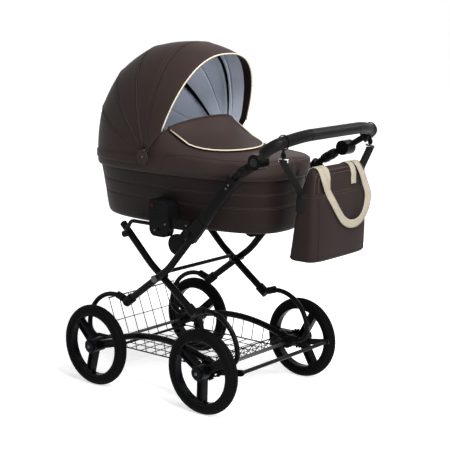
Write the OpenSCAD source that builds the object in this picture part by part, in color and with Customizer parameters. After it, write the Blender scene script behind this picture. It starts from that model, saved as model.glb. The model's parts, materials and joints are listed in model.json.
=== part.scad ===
// Bassinet pram: X-frame chassis on C springs, wire basket, carrycot with a
// folding hood and apron, tilting push handle and a changing bag.
// Millimetres. +X runs back to the handle, -Y is the pram's left side, +Z is up.
// The origin is on the floor, midway between the axles.

/* [Wheels] */
// Outside diameter of a tyre
wheel_d = 300; // [270:5:330]
// Width of a tyre
tyre_w = 44; // [38:1:50]
// Radial height of a tyre above the rim
tyre_h = 32; // [26:1:36]
// Radial thickness of the rim band
rim_t = 8; // [5:0.5:12]
// Width of the rim band
rim_w = 34; // [28:1:36]
// Width of a spoke
spoke_w = 30; // [22:1:38]
// Diameter of a wheel hub
hub_d = 52; // [44:1:60]
// Length of a wheel hub
hub_len = 60; // [50:1:66]
// Distance between the axles
wheelbase = 520; // [490:5:560]
// Distance of a wheel hub outside the middle of its frame side
hub_out = 40; // [37:1:60]
// Diameter of an axle
axle_d = 12; // [10:0.5:14]
// Outside diameter of a wheel bearing
bearing_d = 28; // [24:1:32]
// Width of a wheel bearing
bearing_w = 9; // [7:0.5:12]
// Number of notches in a brake ring
brake_notches = 16; // [12:4:20]

/* [Chassis] */
// Half the distance between the left and right frame sides
frame_half_w = 215; // [208:1:222]
// Diameter of the crossing tubes
tube_d = 26; // [22:1:30]
// Gap between the two tubes where they cross
cross_gap = 2; // [1:0.5:4]
// Distance of the lower tube ends from the middle
foot_x = 150; // [130:2:165]
// Height of the lower tube ends
foot_z = 320; // [300:2:340]
// Height of the crossing
cross_z = 430; // [415:2:445]
// Distance of the tube bends from the middle
knee_x = 55; // [40:1:70]
// Distance of the upper tube ends from the middle
top_x = 187; // [175:1:195]
// Height of the handle tubes' upper ends
handle_tube_top = 622; // [610:1:634]
// Height of the front tubes' upper ends
front_tube_top = 598; // [585:1:606]
// Bend radius of the crossing tubes
tube_bend_r = 260; // [150:10:300]
// Diameter of the crossing bolts
bolt_d = 10; // [8:0.5:12]
// Diameter of the bar between the crossings
crossbar_d = 14; // [10:1:18]
// Height of the bar between the crossings above the bolt heads
crossbar_rise = 1; // [0.5:0.5:12]
// Diameter of the C springs
spring_d = 18; // [14:1:22]
// Reach of the C springs past the axles
spring_out = 85; // [75:1:100]
// Radius of the lower spring bend
spring_low_r = 42; // [34:1:50]
// Diameter of the lower side beams
beam_d = 24; // [20:1:28]
// Rise of the side beams at the middle
beam_rise = 54; // [40:1:70]

/* [Basket] */
// Diameter of the basket's mesh wires
wire_d = 3; // [2.5:0.1:4]
// Diameter of the basket's rim wires
rim_wire_d = 5; // [4:0.25:6]
// Height of the basket floor
basket_z = 130; // [122:1:136]
// Distance of the basket floor's ends inside the axles
basket_end = 28; // [24:1:45]
// Distance of the basket floor inside the middle of a frame side
basket_gap = 29; // [25:1:45]
// Spacing of the basket wires
wire_pitch = 52; // [40:1:64]
// Height of the front wall's rim
front_wall_z = 302; // [270:1:310]
// Forward lean of the front wall
front_wall_lean = 62; // [40:1:66]
// Height of the rear wall
rear_wall_h = 36; // [24:1:44]

/* [Handle] */
// Length of a handle sleeve
sleeve_len = 255; // [235:1:265]
// Width of a handle sleeve, seen from the side
sleeve_w = 44; // [40:1:50]
// Thickness of a handle sleeve
sleeve_t = 30; // [28:1:34]
// Diameter of the handle arms
arm_d = 24; // [20:1:25]
// Slope of the handle arms
arm_angle = 29; // [24:0.5:34]
// Length of the handle arms
arm_len = 112; // [100:1:124]
// Diameter of the handle knuckles
knuckle_d = 52; // [46:1:58]
// Thickness of the inner knuckle disc
knuckle_t = 26; // [24:1:30]
// Thickness of the outer knuckle disc
knuckle_cap_t = 22; // [20:1:26]
// Diameter of the height buttons
button_d = 28; // [24:1:32]
// Travel of the height buttons
button_travel = 4; // [3:0.5:5]
// Slope of the grip loop
grip_angle = 35; // [30:0.5:40]
// Reach of the grip loop
grip_reach = 150; // [140:1:160]
// Distance of the grip loop's side outside the middle of a frame side
grip_out = 85; // [75:1:95]
// Diameter of the grip tube
grip_d = 22; // [18:1:24]
// Diameter of the grip cover
cover_d = 36; // [32:1:40]

/* [Carrycot] */
// Length of the carrycot at its rim
cot_len = 840; // [800:5:880]
// Distance of the carrycot's rim inside the middle of a frame side
cot_gap = 3; // [-1:0.5:10]
// Distance of the carrycot's middle behind the axle midpoint
cot_x = 5; // [-10:1:15]
// Height of the carrycot's underside
cot_z = 612; // [608:1:620]
// Height of the carrycot's shell
cot_h = 214; // [200:1:228]
// Taper of each side from rim to bottom
cot_taper = 38; // [30:1:46]
// Wall thickness of the carrycot
cot_wall = 8; // [6:0.5:10]
// Roundness of the carrycot's plan, 2 is an ellipse
cot_round = 2.8; // [2.4:0.1:3.4]
// Height of the padded rim band
rim_h = 48; // [40:1:54]
// Outward thickness of the padded rim band
rim_out = 9; // [6:0.5:12]
// Thickness of the mattress
mattress_t = 40; // [30:1:50]

/* [Hood] */
// Outer radius of the hood
hood_r = 400; // [385:1:410]
// Distance of the hood's side outside the carrycot
hood_out = 26; // [24:0.5:30]
// Distance of the hood pivot ahead of the axle midpoint
hood_x = 52; // [40:1:62]
// Height of the hood pivot above the rim band
hood_up = 10; // [8:0.5:14]
// Thickness of a hood panel
panel_t = 3; // [2:0.25:3.25]
// Step from one hood panel to the next
panel_step = 4; // [3.75:0.05:4.25]
// Angle of the top of the hood's front edge
hood_front = 64; // [60:1:68]
// Angle by which the visor's front edge leans back from upright
visor_lean = 21.8; // [18:0.2:26]
// Angle from the front edge to the main bow
visor_span = 18; // [14:1:22]
// Angle that each panel folds by
fold_step = 24; // [22:0.5:25]
// Overlap of neighbouring panels
panel_lap = 2; // [1:0.25:3]
// Roundness of the hood's bow, 2 is an ellipse
hood_round = 2.6; // [2.3:0.1:3]
// Diameter of the hood pivot pins
hood_pin_d = 16; // [12:1:20]

/* [Apron] */
// Distance of the apron's front edge ahead of the axle midpoint
apron_front = 30; // [15:1:36]
// Thickness of the apron
apron_t = 3; // [2:0.25:5]
// Height of the apron's front arch above the rim band
apron_rise = 138; // [110:2:150]
// Lean of the front arch
apron_lean = 100; // [70:1:115]
// Height of the apron's foot end above the rim band
apron_foot = 22; // [15:1:35]
// Depth of the apron's skirt
skirt_h = 40; // [30:1:44]
// Length of the turned-back flap along the middle
flap_len = 200; // [150:5:230]
// Thickness of the flap
flap_t = 5; // [3:0.5:7]

/* [Bag] */
// Width of the bag
bag_w = 320; // [300:5:350]
// Depth of the bag
bag_depth = 124; // [105:1:130]
// Height of the bag
bag_h = 309; // [285:1:335]
// Distance of the bag's top below the hanging line
bag_drop = 94; // [84:1:106]
// Width of the webbing
webbing_w = 30; // [22:1:38]
// Thickness of the webbing
webbing_t = 3; // [2:0.25:4]

/* [Hidden] */
$fn = 48;
// Clearances: shaft in a bore, piece in its seat, between soft pieces, moving faces
fit = 0.05;
seat = 0.15;
soft = 0.4;
run_gap = 0.5;

axle_z = wheel_d / 2;
axle_x = wheelbase / 2;
hub_in_y = frame_half_w + hub_out;
wheel_y = hub_in_y + hub_len / 2;
rim_r = wheel_d / 2 - tyre_h;
// Turn of the spokes on each wheel: front left, front right, rear left, rear right
spoke_turn = [15, 40, 28, 60];
spoke_count = 3;
spoke_t = 24;

// The handle tubes lie outside the front tubes on each side
tube_step = (tube_d + cross_gap) / 2;
outer_y = frame_half_w + tube_step;
inner_y = frame_half_w - tube_step;
knee_z = cross_z + knee_x * (cross_z - foot_z) / foot_x;
handle_path = [[-foot_x, foot_z], [knee_x, knee_z], [top_x, handle_tube_top]];
front_path = [[foot_x, foot_z], [-knee_x, knee_z], [-top_x, front_tube_top]];
bolt_head_d = bolt_d * 1.3;
bolt_head_t = 6;
lug_t = 6;

// C spring: a large upper bend, a small lower bend and a straight foot
spring_reach = axle_x + spring_out;
spring_lead = 22;
spring_rise = 18;
spring_foot_up = 14;
spring_foot_in = 14;
spring_foot_z = axle_z + spring_foot_up;
spring_mid_z = spring_foot_z + spring_low_r;
spring_big_r = foot_z + spring_rise - spring_mid_z;
spring_mid_x = spring_reach - spring_big_r;
spring_start_x = foot_x + spring_lead;
spring_sweep = acos((spring_start_x - spring_mid_x) / spring_big_r);
spring_start = [spring_start_x, spring_mid_z + spring_big_r * sin(spring_sweep)];

// Bowed side beam through both axle centres
beam_r = (axle_x * axle_x + beam_rise * beam_rise) / (2 * beam_rise);
beam_mid_z = axle_z + beam_rise - beam_r;
beam_end_in = 16;
beam_half_turn = asin((axle_x - beam_end_in) / beam_r);

// Axle block and brake
wall = 4.5;
block_r = 22;
block_in = inner_y - spring_d / 2 - wall;
block_out = outer_y + spring_d / 2 + wall;
boss_r = axle_d / 2 + 5;
brake_arm_t = 8;
brake_pin_d = 8;
brake_pivot = [50, 0];
brake_tooth = [-12, -14];
brake_tooth_d = 6;
brake_bar_at = [140, 14];
brake_bar_d = 14;
brake_turn = 15;
brake_ring_r = norm(brake_pivot + brake_tooth) - brake_tooth_d / 2 - 1;
brake_ring_w = 8;
notch_depth = 5;
notch_w = brake_tooth_d + 2;
brake_in_y = block_out + run_gap;
brake_out_y = brake_in_y + brake_arm_t;

// Unit vector from a to b, and the point at a given distance from a towards b
function along(a, b) = (b - a) / norm(b - a);
function past(a, b, s) = a + s * along(a, b);
function turned(p, a) = [p[0] * cos(a) + p[1] * sin(a), -p[0] * sin(a) + p[1] * cos(a)];
function superellipse(a, b, n, t) = [
    a * sign(cos(t)) * pow(abs(cos(t)), 2 / n), b * sign(sin(t)) * pow(abs(sin(t)), 2 / n)];

// Left and right copies of what is drawn for the left side
module both_sides() {
    children();
    mirror([0, 1, 0]) children();
}

module side(right) {
    if (right) mirror([0, 1, 0]) children();
    else children();
}

// Round rod between two points
module rod(a, b, d) {
    v = b - a;
    translate(a) rotate([0, acos(v[2] / norm(v)), atan2(v[1], v[0])]) cylinder(d = d, h = norm(v));
}

// Cylinder along Y at (x, z), from y0 to y1 measured outwards on the left side
module y_pin(p, d, y0, y1) {
    translate([p[0], -y0, p[1]]) rotate([90, 0, 0]) cylinder(d = d, h = y1 - y0);
}

// Plate of an XZ outline, from y0 to y1 measured outwards on the left side
module y_plate(y0, y1) {
    translate([0, -y0, 0]) rotate([90, 0, 0]) linear_extrude(height = y1 - y0) children();
}

// Flat bar with round ends between two points of a plane
module bar_2d(a, b, w) {
    translate(a) rotate(atan2(b[1] - a[1], b[0] - a[0])) translate([0, -w / 2 + seat])
        square([norm(b - a), w - 2 * seat]);
    for (p = [a, b]) translate(p) circle(d = w);
}

module round_rect(w, h, r) {
    square([w - 2 * r, h], center = true);
    square([w, h - 2 * r], center = true);
    for (i = [-1, 1], j = [-1, 1]) translate([i * (w / 2 - r), j * (h / 2 - r)]) circle(r = r);
}

// A bent tube draws a little thinner round its bends, and the straight runs lap into them
bend_thin = 0.3;
bend_lap = 1.2;

// Tube along plane points, with a bend of radius r[i] at each inner point
module flat_tube(pts, r, d) {
    n = len(pts);
    turn = [for (i = [1:n - 2]) let(
        u = along(pts[i - 1], pts[i]), v = along(pts[i], pts[i + 1]))
        atan2(u[0] * v[1] - u[1] * v[0], u * v)];
    cut = [for (i = [0:n - 1]) i == 0 || i == n - 1 ? 0 : r[i - 1] * tan(abs(turn[i - 1]) / 2)];
    for (i = [0:n - 2]) {
        a = past(pts[i], pts[i + 1], cut[i]);
        b = past(pts[i + 1], pts[i], cut[i + 1]);
        from = i == 0 ? 0 : bend_lap;
        to = i == n - 2 ? 0 : bend_lap;
        translate([a[0], a[1], 0]) rotate(atan2(b[1] - a[1], b[0] - a[0])) rotate([90, 0, 90])
            translate([0, 0, -from]) linear_extrude(height = norm(b - a) + from + to) circle(d = d);
    }
    for (i = [1:n - 2]) {
        u = along(pts[i - 1], pts[i]);
        s = turn[i - 1] > 0 ? 1 : -1;
        a = pts[i] - u * cut[i];
        c = a + s * r[i - 1] * [-u[1], u[0]];
        from = s > 0 ? a - c : past(pts[i], pts[i + 1], cut[i]) - c;
        translate([c[0], c[1], 0]) rotate(atan2(from[1], from[0]))
            rotate_extrude(angle = abs(turn[i - 1]), $fn = 96)
                translate([r[i - 1], 0]) circle(d = d - bend_thin);
    }
}

// The same tube standing in an XZ plane at distance y on the left side
module side_tube(pts, r, d, y) {
    translate([0, -y, 0]) rotate([90, 0, 0]) flat_tube(pts, r, d);
}

// Closed skin over rings of equally many points, capped at both ends
module skin(rings) {
    n = len(rings[0]);
    m = len(rings);
    polyhedron(
        points = [for (ring = rings) each ring],
        faces = [
            [for (j = [0:n - 1]) j],
            [for (j = [n - 1:-1:0]) (m - 1) * n + j],
            for (i = [0:m - 2], j = [0:n - 1]) let(k = (j + 1) % n)
                each [[i * n + j, (i + 1) * n + j, (i + 1) * n + k],
                    [i * n + j, (i + 1) * n + k, i * n + k]]]);
}

// Closed skin whose last ring joins the first again
module hoop(rings) {
    n = len(rings[0]);
    m = len(rings);
    polyhedron(
        points = [for (ring = rings) each ring],
        faces = [for (i = [0:m - 1], j = [0:n - 1]) let(h = (i + 1) % m, k = (j + 1) % n)
            each [[i * n + j, h * n + j, h * n + k], [i * n + j, h * n + k, i * n + k]]]);
}

// Wheels

// A wheel's pieces are drawn about +Z, which points outwards
module at_wheel(front, right) {
    side(right) translate([(front ? -1 : 1) * axle_x, -wheel_y, axle_z]) rotate([90, 0, 0]) children();
}

module tyre_form() {
    groove_w = 2.5;
    groove_z = tyre_w / 6;
    groove_h = 1.8;
    groove_r = wheel_d / 2 - tyre_w / 2 + sqrt(tyre_w * tyre_w / 4 - groove_z * groove_z) - groove_h;
    rotate_extrude($fn = 96) difference() {
        translate([wheel_d / 2 - tyre_w / 2, 0]) circle(d = tyre_w);
        translate([0, -tyre_w]) square([rim_r + seat, 2 * tyre_w]);
        for (z = [-groove_z, groove_z]) translate([groove_r, z - groove_w / 2]) square([tyre_w, groove_w]);
    }
}

// Three channelled spokes between the hub and the rim band
module spokes_2d(inset) {
    for (i = [0:spoke_count - 1]) rotate(i * 360 / spoke_count)
        polygon([[hub_d / 2 - 6 + 3 * inset, -spoke_w / 2 + inset],
            [rim_r - rim_t + 3 - 2 * inset, -spoke_w / 2 + inset],
            [rim_r - rim_t + 3 - 2 * inset, spoke_w / 2 - inset],
                [hub_d / 2 - 6 + 3 * inset, spoke_w / 2 - inset]]);
}

module rim_form(turn, braked) {
    edge = 3;
    channel_d = 7;
    lip = 6;
    tooth_at = brake_pivot + turned(brake_tooth, brake_turn);
    difference() {
        union() {
            rotate_extrude($fn = 96) polygon([
                [rim_r - rim_t + edge, -rim_w / 2], [rim_r, -rim_w / 2], [rim_r, rim_w / 2],
                [rim_r - rim_t + edge, rim_w / 2], [rim_r - rim_t, rim_w / 2 - edge],
                    [rim_r - rim_t, edge - rim_w / 2]]);
            rotate(turn) difference() {
                linear_extrude(height = spoke_t, center = true) spokes_2d(0);
                for (z = [-spoke_t / 2 - 1, spoke_t / 2 - channel_d])
                    translate([0, 0, z]) linear_extrude(height = channel_d + 1) spokes_2d(lip);
            }
            cylinder(d = hub_d, h = hub_len, center = true);
            if (braked) translate([0, 0, -hub_len / 2]) difference() {
                cylinder(r = brake_ring_r, h = brake_ring_w);
                for (i = [0:brake_notches - 1])
                    rotate(atan2(tooth_at[1], tooth_at[0]) + i * 360 / brake_notches)
                        translate([brake_ring_r - notch_depth, -notch_w / 2, -1])
                            cube([2 * notch_depth, notch_w, brake_ring_w + 2]);
            }
        }
        cylinder(d = axle_d + 6, h = hub_len + 2, center = true);
        for (z = [-1, 1]) translate([0, 0, z * (hub_len - bearing_w) / 2])
            cylinder(d = bearing_d + 2 * seat, h = bearing_w + seat, center = true);
    }
}

// Two bearings and the domed cap that closes the hub
module hub_form() {
    cap_h = 7;
    cap_d = hub_d - 8;
    for (z = [-1, 1]) translate([0, 0, z * (hub_len - bearing_w) / 2]) difference() {
        cylinder(d = bearing_d, h = bearing_w, center = true);
        cylinder(d = axle_d + 2 * fit, h = bearing_w + 1, center = true);
    }
    translate([0, 0, hub_len / 2 + seat]) rotate_extrude() polygon([
        [0, 0], [cap_d / 2, 0], [cap_d / 2, cap_h / 2], [cap_d / 2 - 4, cap_h], [6, cap_h],
            [5, cap_h - 2], [0, cap_h - 2]]);
}

module tyre_front_left() { color("#1b1b1d") at_wheel(true, false) tyre_form(); }
module tyre_front_right() { color("#1b1b1d") at_wheel(true, true) tyre_form(); }
module tyre_rear_left() { color("#1b1b1d") at_wheel(false, false) tyre_form(); }
module tyre_rear_right() { color("#1b1b1d") at_wheel(false, true) tyre_form(); }
module rim_front_left() { color("#26272a") at_wheel(true, false) rim_form(spoke_turn[0], false); }
module rim_front_right() { color("#26272a") at_wheel(true, true) rim_form(spoke_turn[1], false); }
module rim_rear_left() { color("#26272a") at_wheel(false, false) rim_form(spoke_turn[2], true); }
module rim_rear_right() { color("#26272a") at_wheel(false, true) rim_form(spoke_turn[3], true); }
module hub_front_left() { color("#333437") at_wheel(true, false) hub_form(); }
module hub_front_right() { color("#333437") at_wheel(true, true) hub_form(); }
module hub_rear_left() { color("#333437") at_wheel(false, false) hub_form(); }
module hub_rear_right() { color("#333437") at_wheel(false, true) hub_form(); }

module axles() {
    end_in = 2;
    color("#2b2c2e") for (x = [-axle_x, axle_x])
        rod([x, -wheel_y - hub_len / 2 + end_in, axle_z], [x, wheel_y + hub_len / 2 - end_in, axle_z],
            axle_d);
}

// Chassis

module handle_tube_form() {
    difference() {
        side_tube(handle_path, [tube_bend_r], tube_d, outer_y);
        y_pin([0, cross_z], bolt_d + 2 * fit, outer_y - tube_d, outer_y + tube_d);
    }
}

module front_tube_form() {
    difference() {
        side_tube(front_path, [tube_bend_r], tube_d, inner_y);
        y_pin([0, cross_z], bolt_d + 2 * fit, inner_y - tube_d, inner_y + tube_d);
    }
}

module handle_tube_left() { color("#1c1d1f") handle_tube_form(); }
module handle_tube_right() { color("#1c1d1f") side(true) handle_tube_form(); }
module front_tube_left() { color("#1c1d1f") front_tube_form(); }
module front_tube_right() { color("#1c1d1f") side(true) front_tube_form(); }

// Rounded plugs that close the upper ends of the front tubes
module front_tube_caps() {
    cap_t = 6;
    top = front_path[2];
    a = past(top, front_path[1], -seat);
    b = past(top, front_path[1], -cap_t);
    color("#141415") both_sides() {
        rod([a[0], -inner_y, a[1]], [b[0], -inner_y, b[1]], tube_d);
        translate([b[0], -inner_y, b[1]]) rotate([0, -atan2(b[1] - a[1], b[0] - a[0]) + 90, 0])
            cylinder(d1 = tube_d, d2 = tube_d - 8, h = cap_t / 2);
    }
}

// One bolt through both tubes and the cross bar's lug on each side
module cross_bolts() {
    head_in = inner_y - tube_d / 2 - 2 * seat - lug_t;
    head_out = outer_y + tube_d / 2 + seat;
    color("#3a3b3d") both_sides() {
        y_pin([0, cross_z], bolt_d, head_in - bolt_head_t, head_out + bolt_head_t);
        y_pin([0, cross_z], bolt_head_d, head_in - bolt_head_t, head_in - seat);
        y_pin([0, cross_z], 2 * bolt_head_d, head_out, head_out + bolt_head_t);
        y_pin([0, cross_z], 2 * bolt_head_d, frame_half_w - cross_gap / 2 + seat,
            frame_half_w + cross_gap / 2 - seat);
    }
}

// Bar between the crossings, raised over the bolt heads
module pivot_crossbar() {
    lug_out = inner_y - tube_d / 2 - seat;
    bar_z = cross_z + bolt_head_d / 2 + crossbar_rise + crossbar_d / 2;
    color("#1c1d1f") {
        rod([0, -lug_out + lug_t / 2, bar_z], [0, lug_out - lug_t / 2, bar_z], crossbar_d);
        both_sides() difference() {
            y_plate(lug_out - lug_t, lug_out) bar_2d([0, cross_z], [0, bar_z], 2 * bolt_d);
            y_pin([0, cross_z], bolt_d + 2 * fit, 0, lug_out + 1);
        }
    }
}

module c_spring(d, y) {
    translate([0, -y, 0]) rotate([90, 0, 0]) {
        translate([spring_mid_x, spring_mid_z, 0]) rotate_extrude(angle = spring_sweep, $fn = 96)
            translate([spring_big_r, 0]) circle(d = d);
        translate([spring_reach - spring_low_r, spring_mid_z, 0]) rotate(-90)
            rotate_extrude(angle = 90, $fn = 96)
            translate([spring_low_r, 0]) circle(d = d);
        rod([spring_reach - spring_low_r, spring_foot_z, 0],
            [axle_x + spring_foot_in, spring_foot_z, 0], d);
    }
}

module springs_front() { color("#1c1d1f") both_sides() mirror([1, 0, 0]) c_spring(spring_d, outer_y); }
module springs_rear() { color("#1c1d1f") both_sides() c_spring(spring_d, inner_y); }

// Shoe that holds a tube's foot and the upper end of its spring, drawn for the rear
module spring_shoe(y) {
    foot = front_path[0];
    up = front_path[1];
    grip = 34;
    toe = 6;
    socket = 26;
    away = [sin(spring_sweep), -cos(spring_sweep)];
    difference() {
        translate([0, -y, 0]) rotate([90, 0, 0]) {
            a = past(foot, up, grip);
            b = past(foot, up, -toe);
            c = spring_start - 8 * away;
            e = spring_start + socket * away;
            rod([a[0], a[1], 0], [b[0], b[1], 0], tube_d + 2 * wall);
            rod([c[0], c[1], 0], [e[0], e[1], 0], spring_d + 2 * wall);
        }
        translate([0, -y, 0]) rotate([90, 0, 0]) {
            a = past(foot, up, 2 * grip);
            b = past(foot, up, -seat);
            rod([a[0], a[1], 0], [b[0], b[1], 0], tube_d + 2 * seat);
        }
        c_spring(spring_d + 2 * seat, y);
    }
}

module spring_shoes() {
    color("#161617") both_sides() {
        spring_shoe(inner_y);
        mirror([1, 0, 0]) spring_shoe(outer_y);
    }
}

module beam_form(d) {
    translate([0, -frame_half_w, beam_mid_z]) rotate([90, 0, 0]) rotate(90 - beam_half_turn)
        rotate_extrude(angle = 2 * beam_half_turn, $fn = 180) translate([beam_r, 0]) circle(d = d);
}

module side_beam_left() { color("#1c1d1f") beam_form(beam_d); }
module side_beam_right() { color("#1c1d1f") side(true) beam_form(beam_d); }

// Moulded block that joins the axle, the beam and the spring, drawn for the rear
module axle_block(spring_y, braked) {
    beam_grip = 46;
    spring_grip = 42;
    lug = 8;
    hub = [axle_x, axle_z];
    inner = hub + beam_grip * [-cos(beam_half_turn), sin(beam_half_turn)];
    difference() {
        union() {
            y_pin(hub, 2 * block_r, block_in, block_out);
            y_pin(hub, 2 * boss_r, block_in + 1, hub_in_y - run_gap);
            rod([hub[0], -frame_half_w, hub[1]], [inner[0], -frame_half_w, inner[1]], beam_d + 2 * wall);
            rod([hub[0], -spring_y, spring_foot_z], [hub[0] + spring_grip, -spring_y, spring_foot_z],
                spring_d + 2 * wall - 2);
            if (braked) {
                y_plate(block_out - lug - 1, block_out - 1) bar_2d(hub, hub + brake_pivot, 3 * brake_pin_d);
                y_pin(hub + brake_pivot, brake_pin_d, block_out - lug, brake_out_y);
            }
        }
        y_pin(hub, axle_d + 2 * fit, block_in - 1, hub_in_y);
        beam_form(beam_d + 2 * seat);
        c_spring(spring_d + 2 * seat, spring_y);
    }
}

module axle_blocks() {
    color("#161617") both_sides() {
        axle_block(inner_y, true);
        mirror([1, 0, 0]) axle_block(outer_y, false);
    }
}

// Foot brake: a bar across the back with a toothed lever at each end
module brake_bar() {
    hub = [axle_x, axle_z];
    pivot = hub + brake_pivot;
    bar_at = hub + brake_bar_at;
    arm_w = 22;
    color("#1a1b1c") {
        both_sides() difference() {
            union() {
                y_plate(brake_in_y, brake_out_y) {
                    bar_2d(pivot, bar_at, arm_w);
                    bar_2d(pivot, pivot + brake_tooth, 2 * brake_tooth_d);
                }
                y_pin(pivot + brake_tooth, brake_tooth_d, brake_out_y - 1, hub_in_y + brake_ring_w - 1);
            }
            y_pin(pivot, brake_pin_d + 2 * fit, brake_in_y - 1, brake_out_y + 1);
        }
        rod([bar_at[0], -brake_in_y - 1, bar_at[1]], [bar_at[0], brake_in_y + 1, bar_at[1]], brake_bar_d);
    }
}

// Basket

basket_rim_y = frame_half_w - beam_d / 2 - rim_wire_d / 2 - 2 * seat;
basket_half_l = axle_x - basket_end;
basket_half_w = frame_half_w - basket_gap;
basket_side_in = 62;
basket_side_l = axle_x - basket_side_in;
basket_lift = rim_wire_d + 2 * seat;

// Evenly spaced places from -half to half, about one pitch apart
function spread(half, pitch) = let(n = round(2 * half / pitch)) [for (i = [0:n]) half * (2 * i / n - 1)];

module basket_floor() {
    l = basket_half_l;
    w = basket_half_w;
    color("#1a1a1b") translate([0, 0, basket_z]) {
        for (s = [-1, 1]) {
            rod([-l, s * w, 0], [l, s * w, 0], rim_wire_d);
            rod([s * l, -w, 0], [s * l, w, 0], rim_wire_d);
            for (t = [-1, 1]) translate([s * l, t * w, 0]) sphere(d = rim_wire_d);
        }
        for (x = spread(l, wire_pitch)) if (abs(x) < l - 1) rod([x, -w, 0], [x, w, 0], wire_d);
        for (y = spread(w, wire_pitch)) if (abs(y) < w - 1) rod([-l, y, 0], [l, y, 0], wire_d);
    }
}

// Side walls hang from a rim wire that follows the beam
module basket_side_walls() {
    turn = asin(basket_side_l / beam_r);
    color("#1a1a1b") both_sides() {
        translate([0, -basket_rim_y, beam_mid_z]) rotate([90, 0, 0]) rotate(90 - turn)
            rotate_extrude(angle = 2 * turn, $fn = 180) translate([beam_r, 0]) circle(d = rim_wire_d);
        for (x = spread(basket_side_l - wire_d, wire_pitch))
            rod([x, -basket_half_w, basket_z + rim_wire_d / 2 + 4 * seat],
                [x, -basket_rim_y, beam_mid_z + sqrt(beam_r * beam_r - x * x)], wire_d);
    }
}

module basket_end_walls() {
    low = basket_z + basket_lift;
    w = basket_half_w - rim_wire_d;
    front = [for (f = [0, 0.5, 1]) [-basket_half_l - f * front_wall_lean, low + f * (front_wall_z - low)]];
    top = low + rear_wall_h;
    color("#1a1a1b") {
        for (p = front) rod([p[0], -w, p[1]], [p[0], w, p[1]], p == front[1] ? wire_d : rim_wire_d);
        for (y = spread(w - wire_d, wire_pitch))
            rod([front[0][0], y, low], [front[2][0], y, front_wall_z], wire_d);
        for (z = [low, top]) rod([basket_half_l, -w, z], [basket_half_l, w, z], rim_wire_d);
        posts = spread(w - wire_d, wire_pitch);
        for (y = posts) rod([basket_half_l, y, low], [basket_half_l, y, top], wire_d);
        for (i = [0:len(posts) - 2]) {
            rod([basket_half_l, posts[i], low], [basket_half_l, posts[i + 1], top], wire_d);
            rod([basket_half_l, posts[i + 1], low], [basket_half_l, posts[i], top], wire_d);
        }
    }
}

// Carrycot carriers

rail_d = 14;
rail_gap = 4;
rail_y = inner_y + tube_d / 2 + rail_gap + rail_d / 2;
latch_t = 12;
latch_in = rail_y - 22;
latch_out = latch_in + latch_t;
adapter_in = latch_out + 2 * soft;
adapter_out = adapter_in + 30;
adapter_y = (adapter_in + adapter_out) / 2;
// Front and rear end of the adapters, and the level on which the carrycot's brackets stand
adapter_x = [-20, 70];
carry_z = cot_z + 43;
adapter_h = 70;
rail_z = carry_z - 33;
tongue = [44, 14, 30];
tube_up = along(handle_path[1], handle_path[2]);
tube_slope = atan2(tube_up[1], tube_up[0]);

module top_rails() {
    eye_back = 40;
    eye_d = 24;
    bend_r = 24;
    hold = 30;
    eye = past(front_path[2], front_path[1], eye_back);
    color("#1c1d1f") both_sides() {
        side_tube([eye, [eye[0] + 30, rail_z], [adapter_x[0] + hold, rail_z]], [bend_r], rail_d, rail_y);
        y_pin(eye, eye_d, inner_y + tube_d / 2 + 2 * seat, rail_y + rail_d / 2);
    }
}

module adapter_outline() {
    r = 26;
    w = adapter_x[1] - adapter_x[0];
    translate([adapter_x[0], carry_z - adapter_h]) {
        translate([0, r]) square([w, adapter_h - r]);
        translate([r, 0]) square([w - 2 * r, r + 1]);
        for (x = [r, w - r]) translate([x, r]) circle(r = r);
    }
}

module cot_adapters() {
    mid = (adapter_x[0] + adapter_x[1]) / 2;
    hold = 30;
    dimple = 4;
    color("#1b1c1d") both_sides() {
        difference() {
            y_plate(adapter_in, adapter_out) adapter_outline();
            rod([adapter_x[0] - 1, -rail_y, rail_z], [adapter_x[0] + hold + seat, -rail_y, rail_z],
                rail_d + 2 * seat);
            y_pin([mid, carry_z - adapter_h / 2 - 8], 12, adapter_out - dimple, adapter_out + 1);
        }
        translate([mid - tongue[0] / 2, -adapter_y - tongue[1] / 2, carry_z - 1]) cube(tongue + [0, 0, 1]);
    }
}

// Half width of the carrycot's side wall at height z
cot_w = 2 * (frame_half_w - cot_gap);
cot_rim_z = cot_z + cot_h;
function cot_half_w(z) = cot_w / 2 - cot_taper * (cot_rim_z - z) / (cot_rim_z - cot_z - cot_edge);
cot_edge = 16;
bracket_h = 58;
release_d = 14;
release_travel = 3;
release_sink = 7;
release_at = [adapter_x[0] + 14, carry_z + bracket_h - 18];

// Brackets on the carrycot's sides that drop over the adapter tongues
module cot_brackets() {
    low = carry_z + seat;
    high = low + bracket_h;
    mid = (adapter_x[0] + adapter_x[1]) / 2;
    r = 22;
    color("#1b1c1d") both_sides() difference() {
        intersection() {
            translate([adapter_x[0], 0, 0]) rotate([90, 0, 90])
                linear_extrude(height = adapter_x[1] - adapter_x[0])
                polygon([[-adapter_out, low], [-cot_half_w(low) - soft, low],
                    [-cot_half_w(high) - soft, high],
                    [-adapter_out, high]]);
            y_plate(0, adapter_out + 1) translate([adapter_x[0], low]) {
                w = adapter_x[1] - adapter_x[0];
                square([w, bracket_h - r]);
                translate([0, 0]) square([w - r, bracket_h]);
                translate([w - r, bracket_h - r]) circle(r = r);
            }
        }
        translate([mid - tongue[0] / 2 - soft, -adapter_y - tongue[1] / 2 - soft, low - 1])
            cube([tongue[0] + 2 * soft, tongue[1] + 2 * soft, tongue[2] + 1 + soft]);
        y_pin(release_at, release_d + 4 * seat, adapter_out - release_sink, adapter_out + 1);
    }
}

module release_button_form() {
    proud = 2;
    y_pin(release_at, release_d, adapter_out - release_sink + release_travel + soft, adapter_out + proud);
}

module release_button_left() { color("#5a1616") release_button_form(); }
module release_button_right() { color("#5a1616") side(true) release_button_form(); }

// Handle

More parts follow.
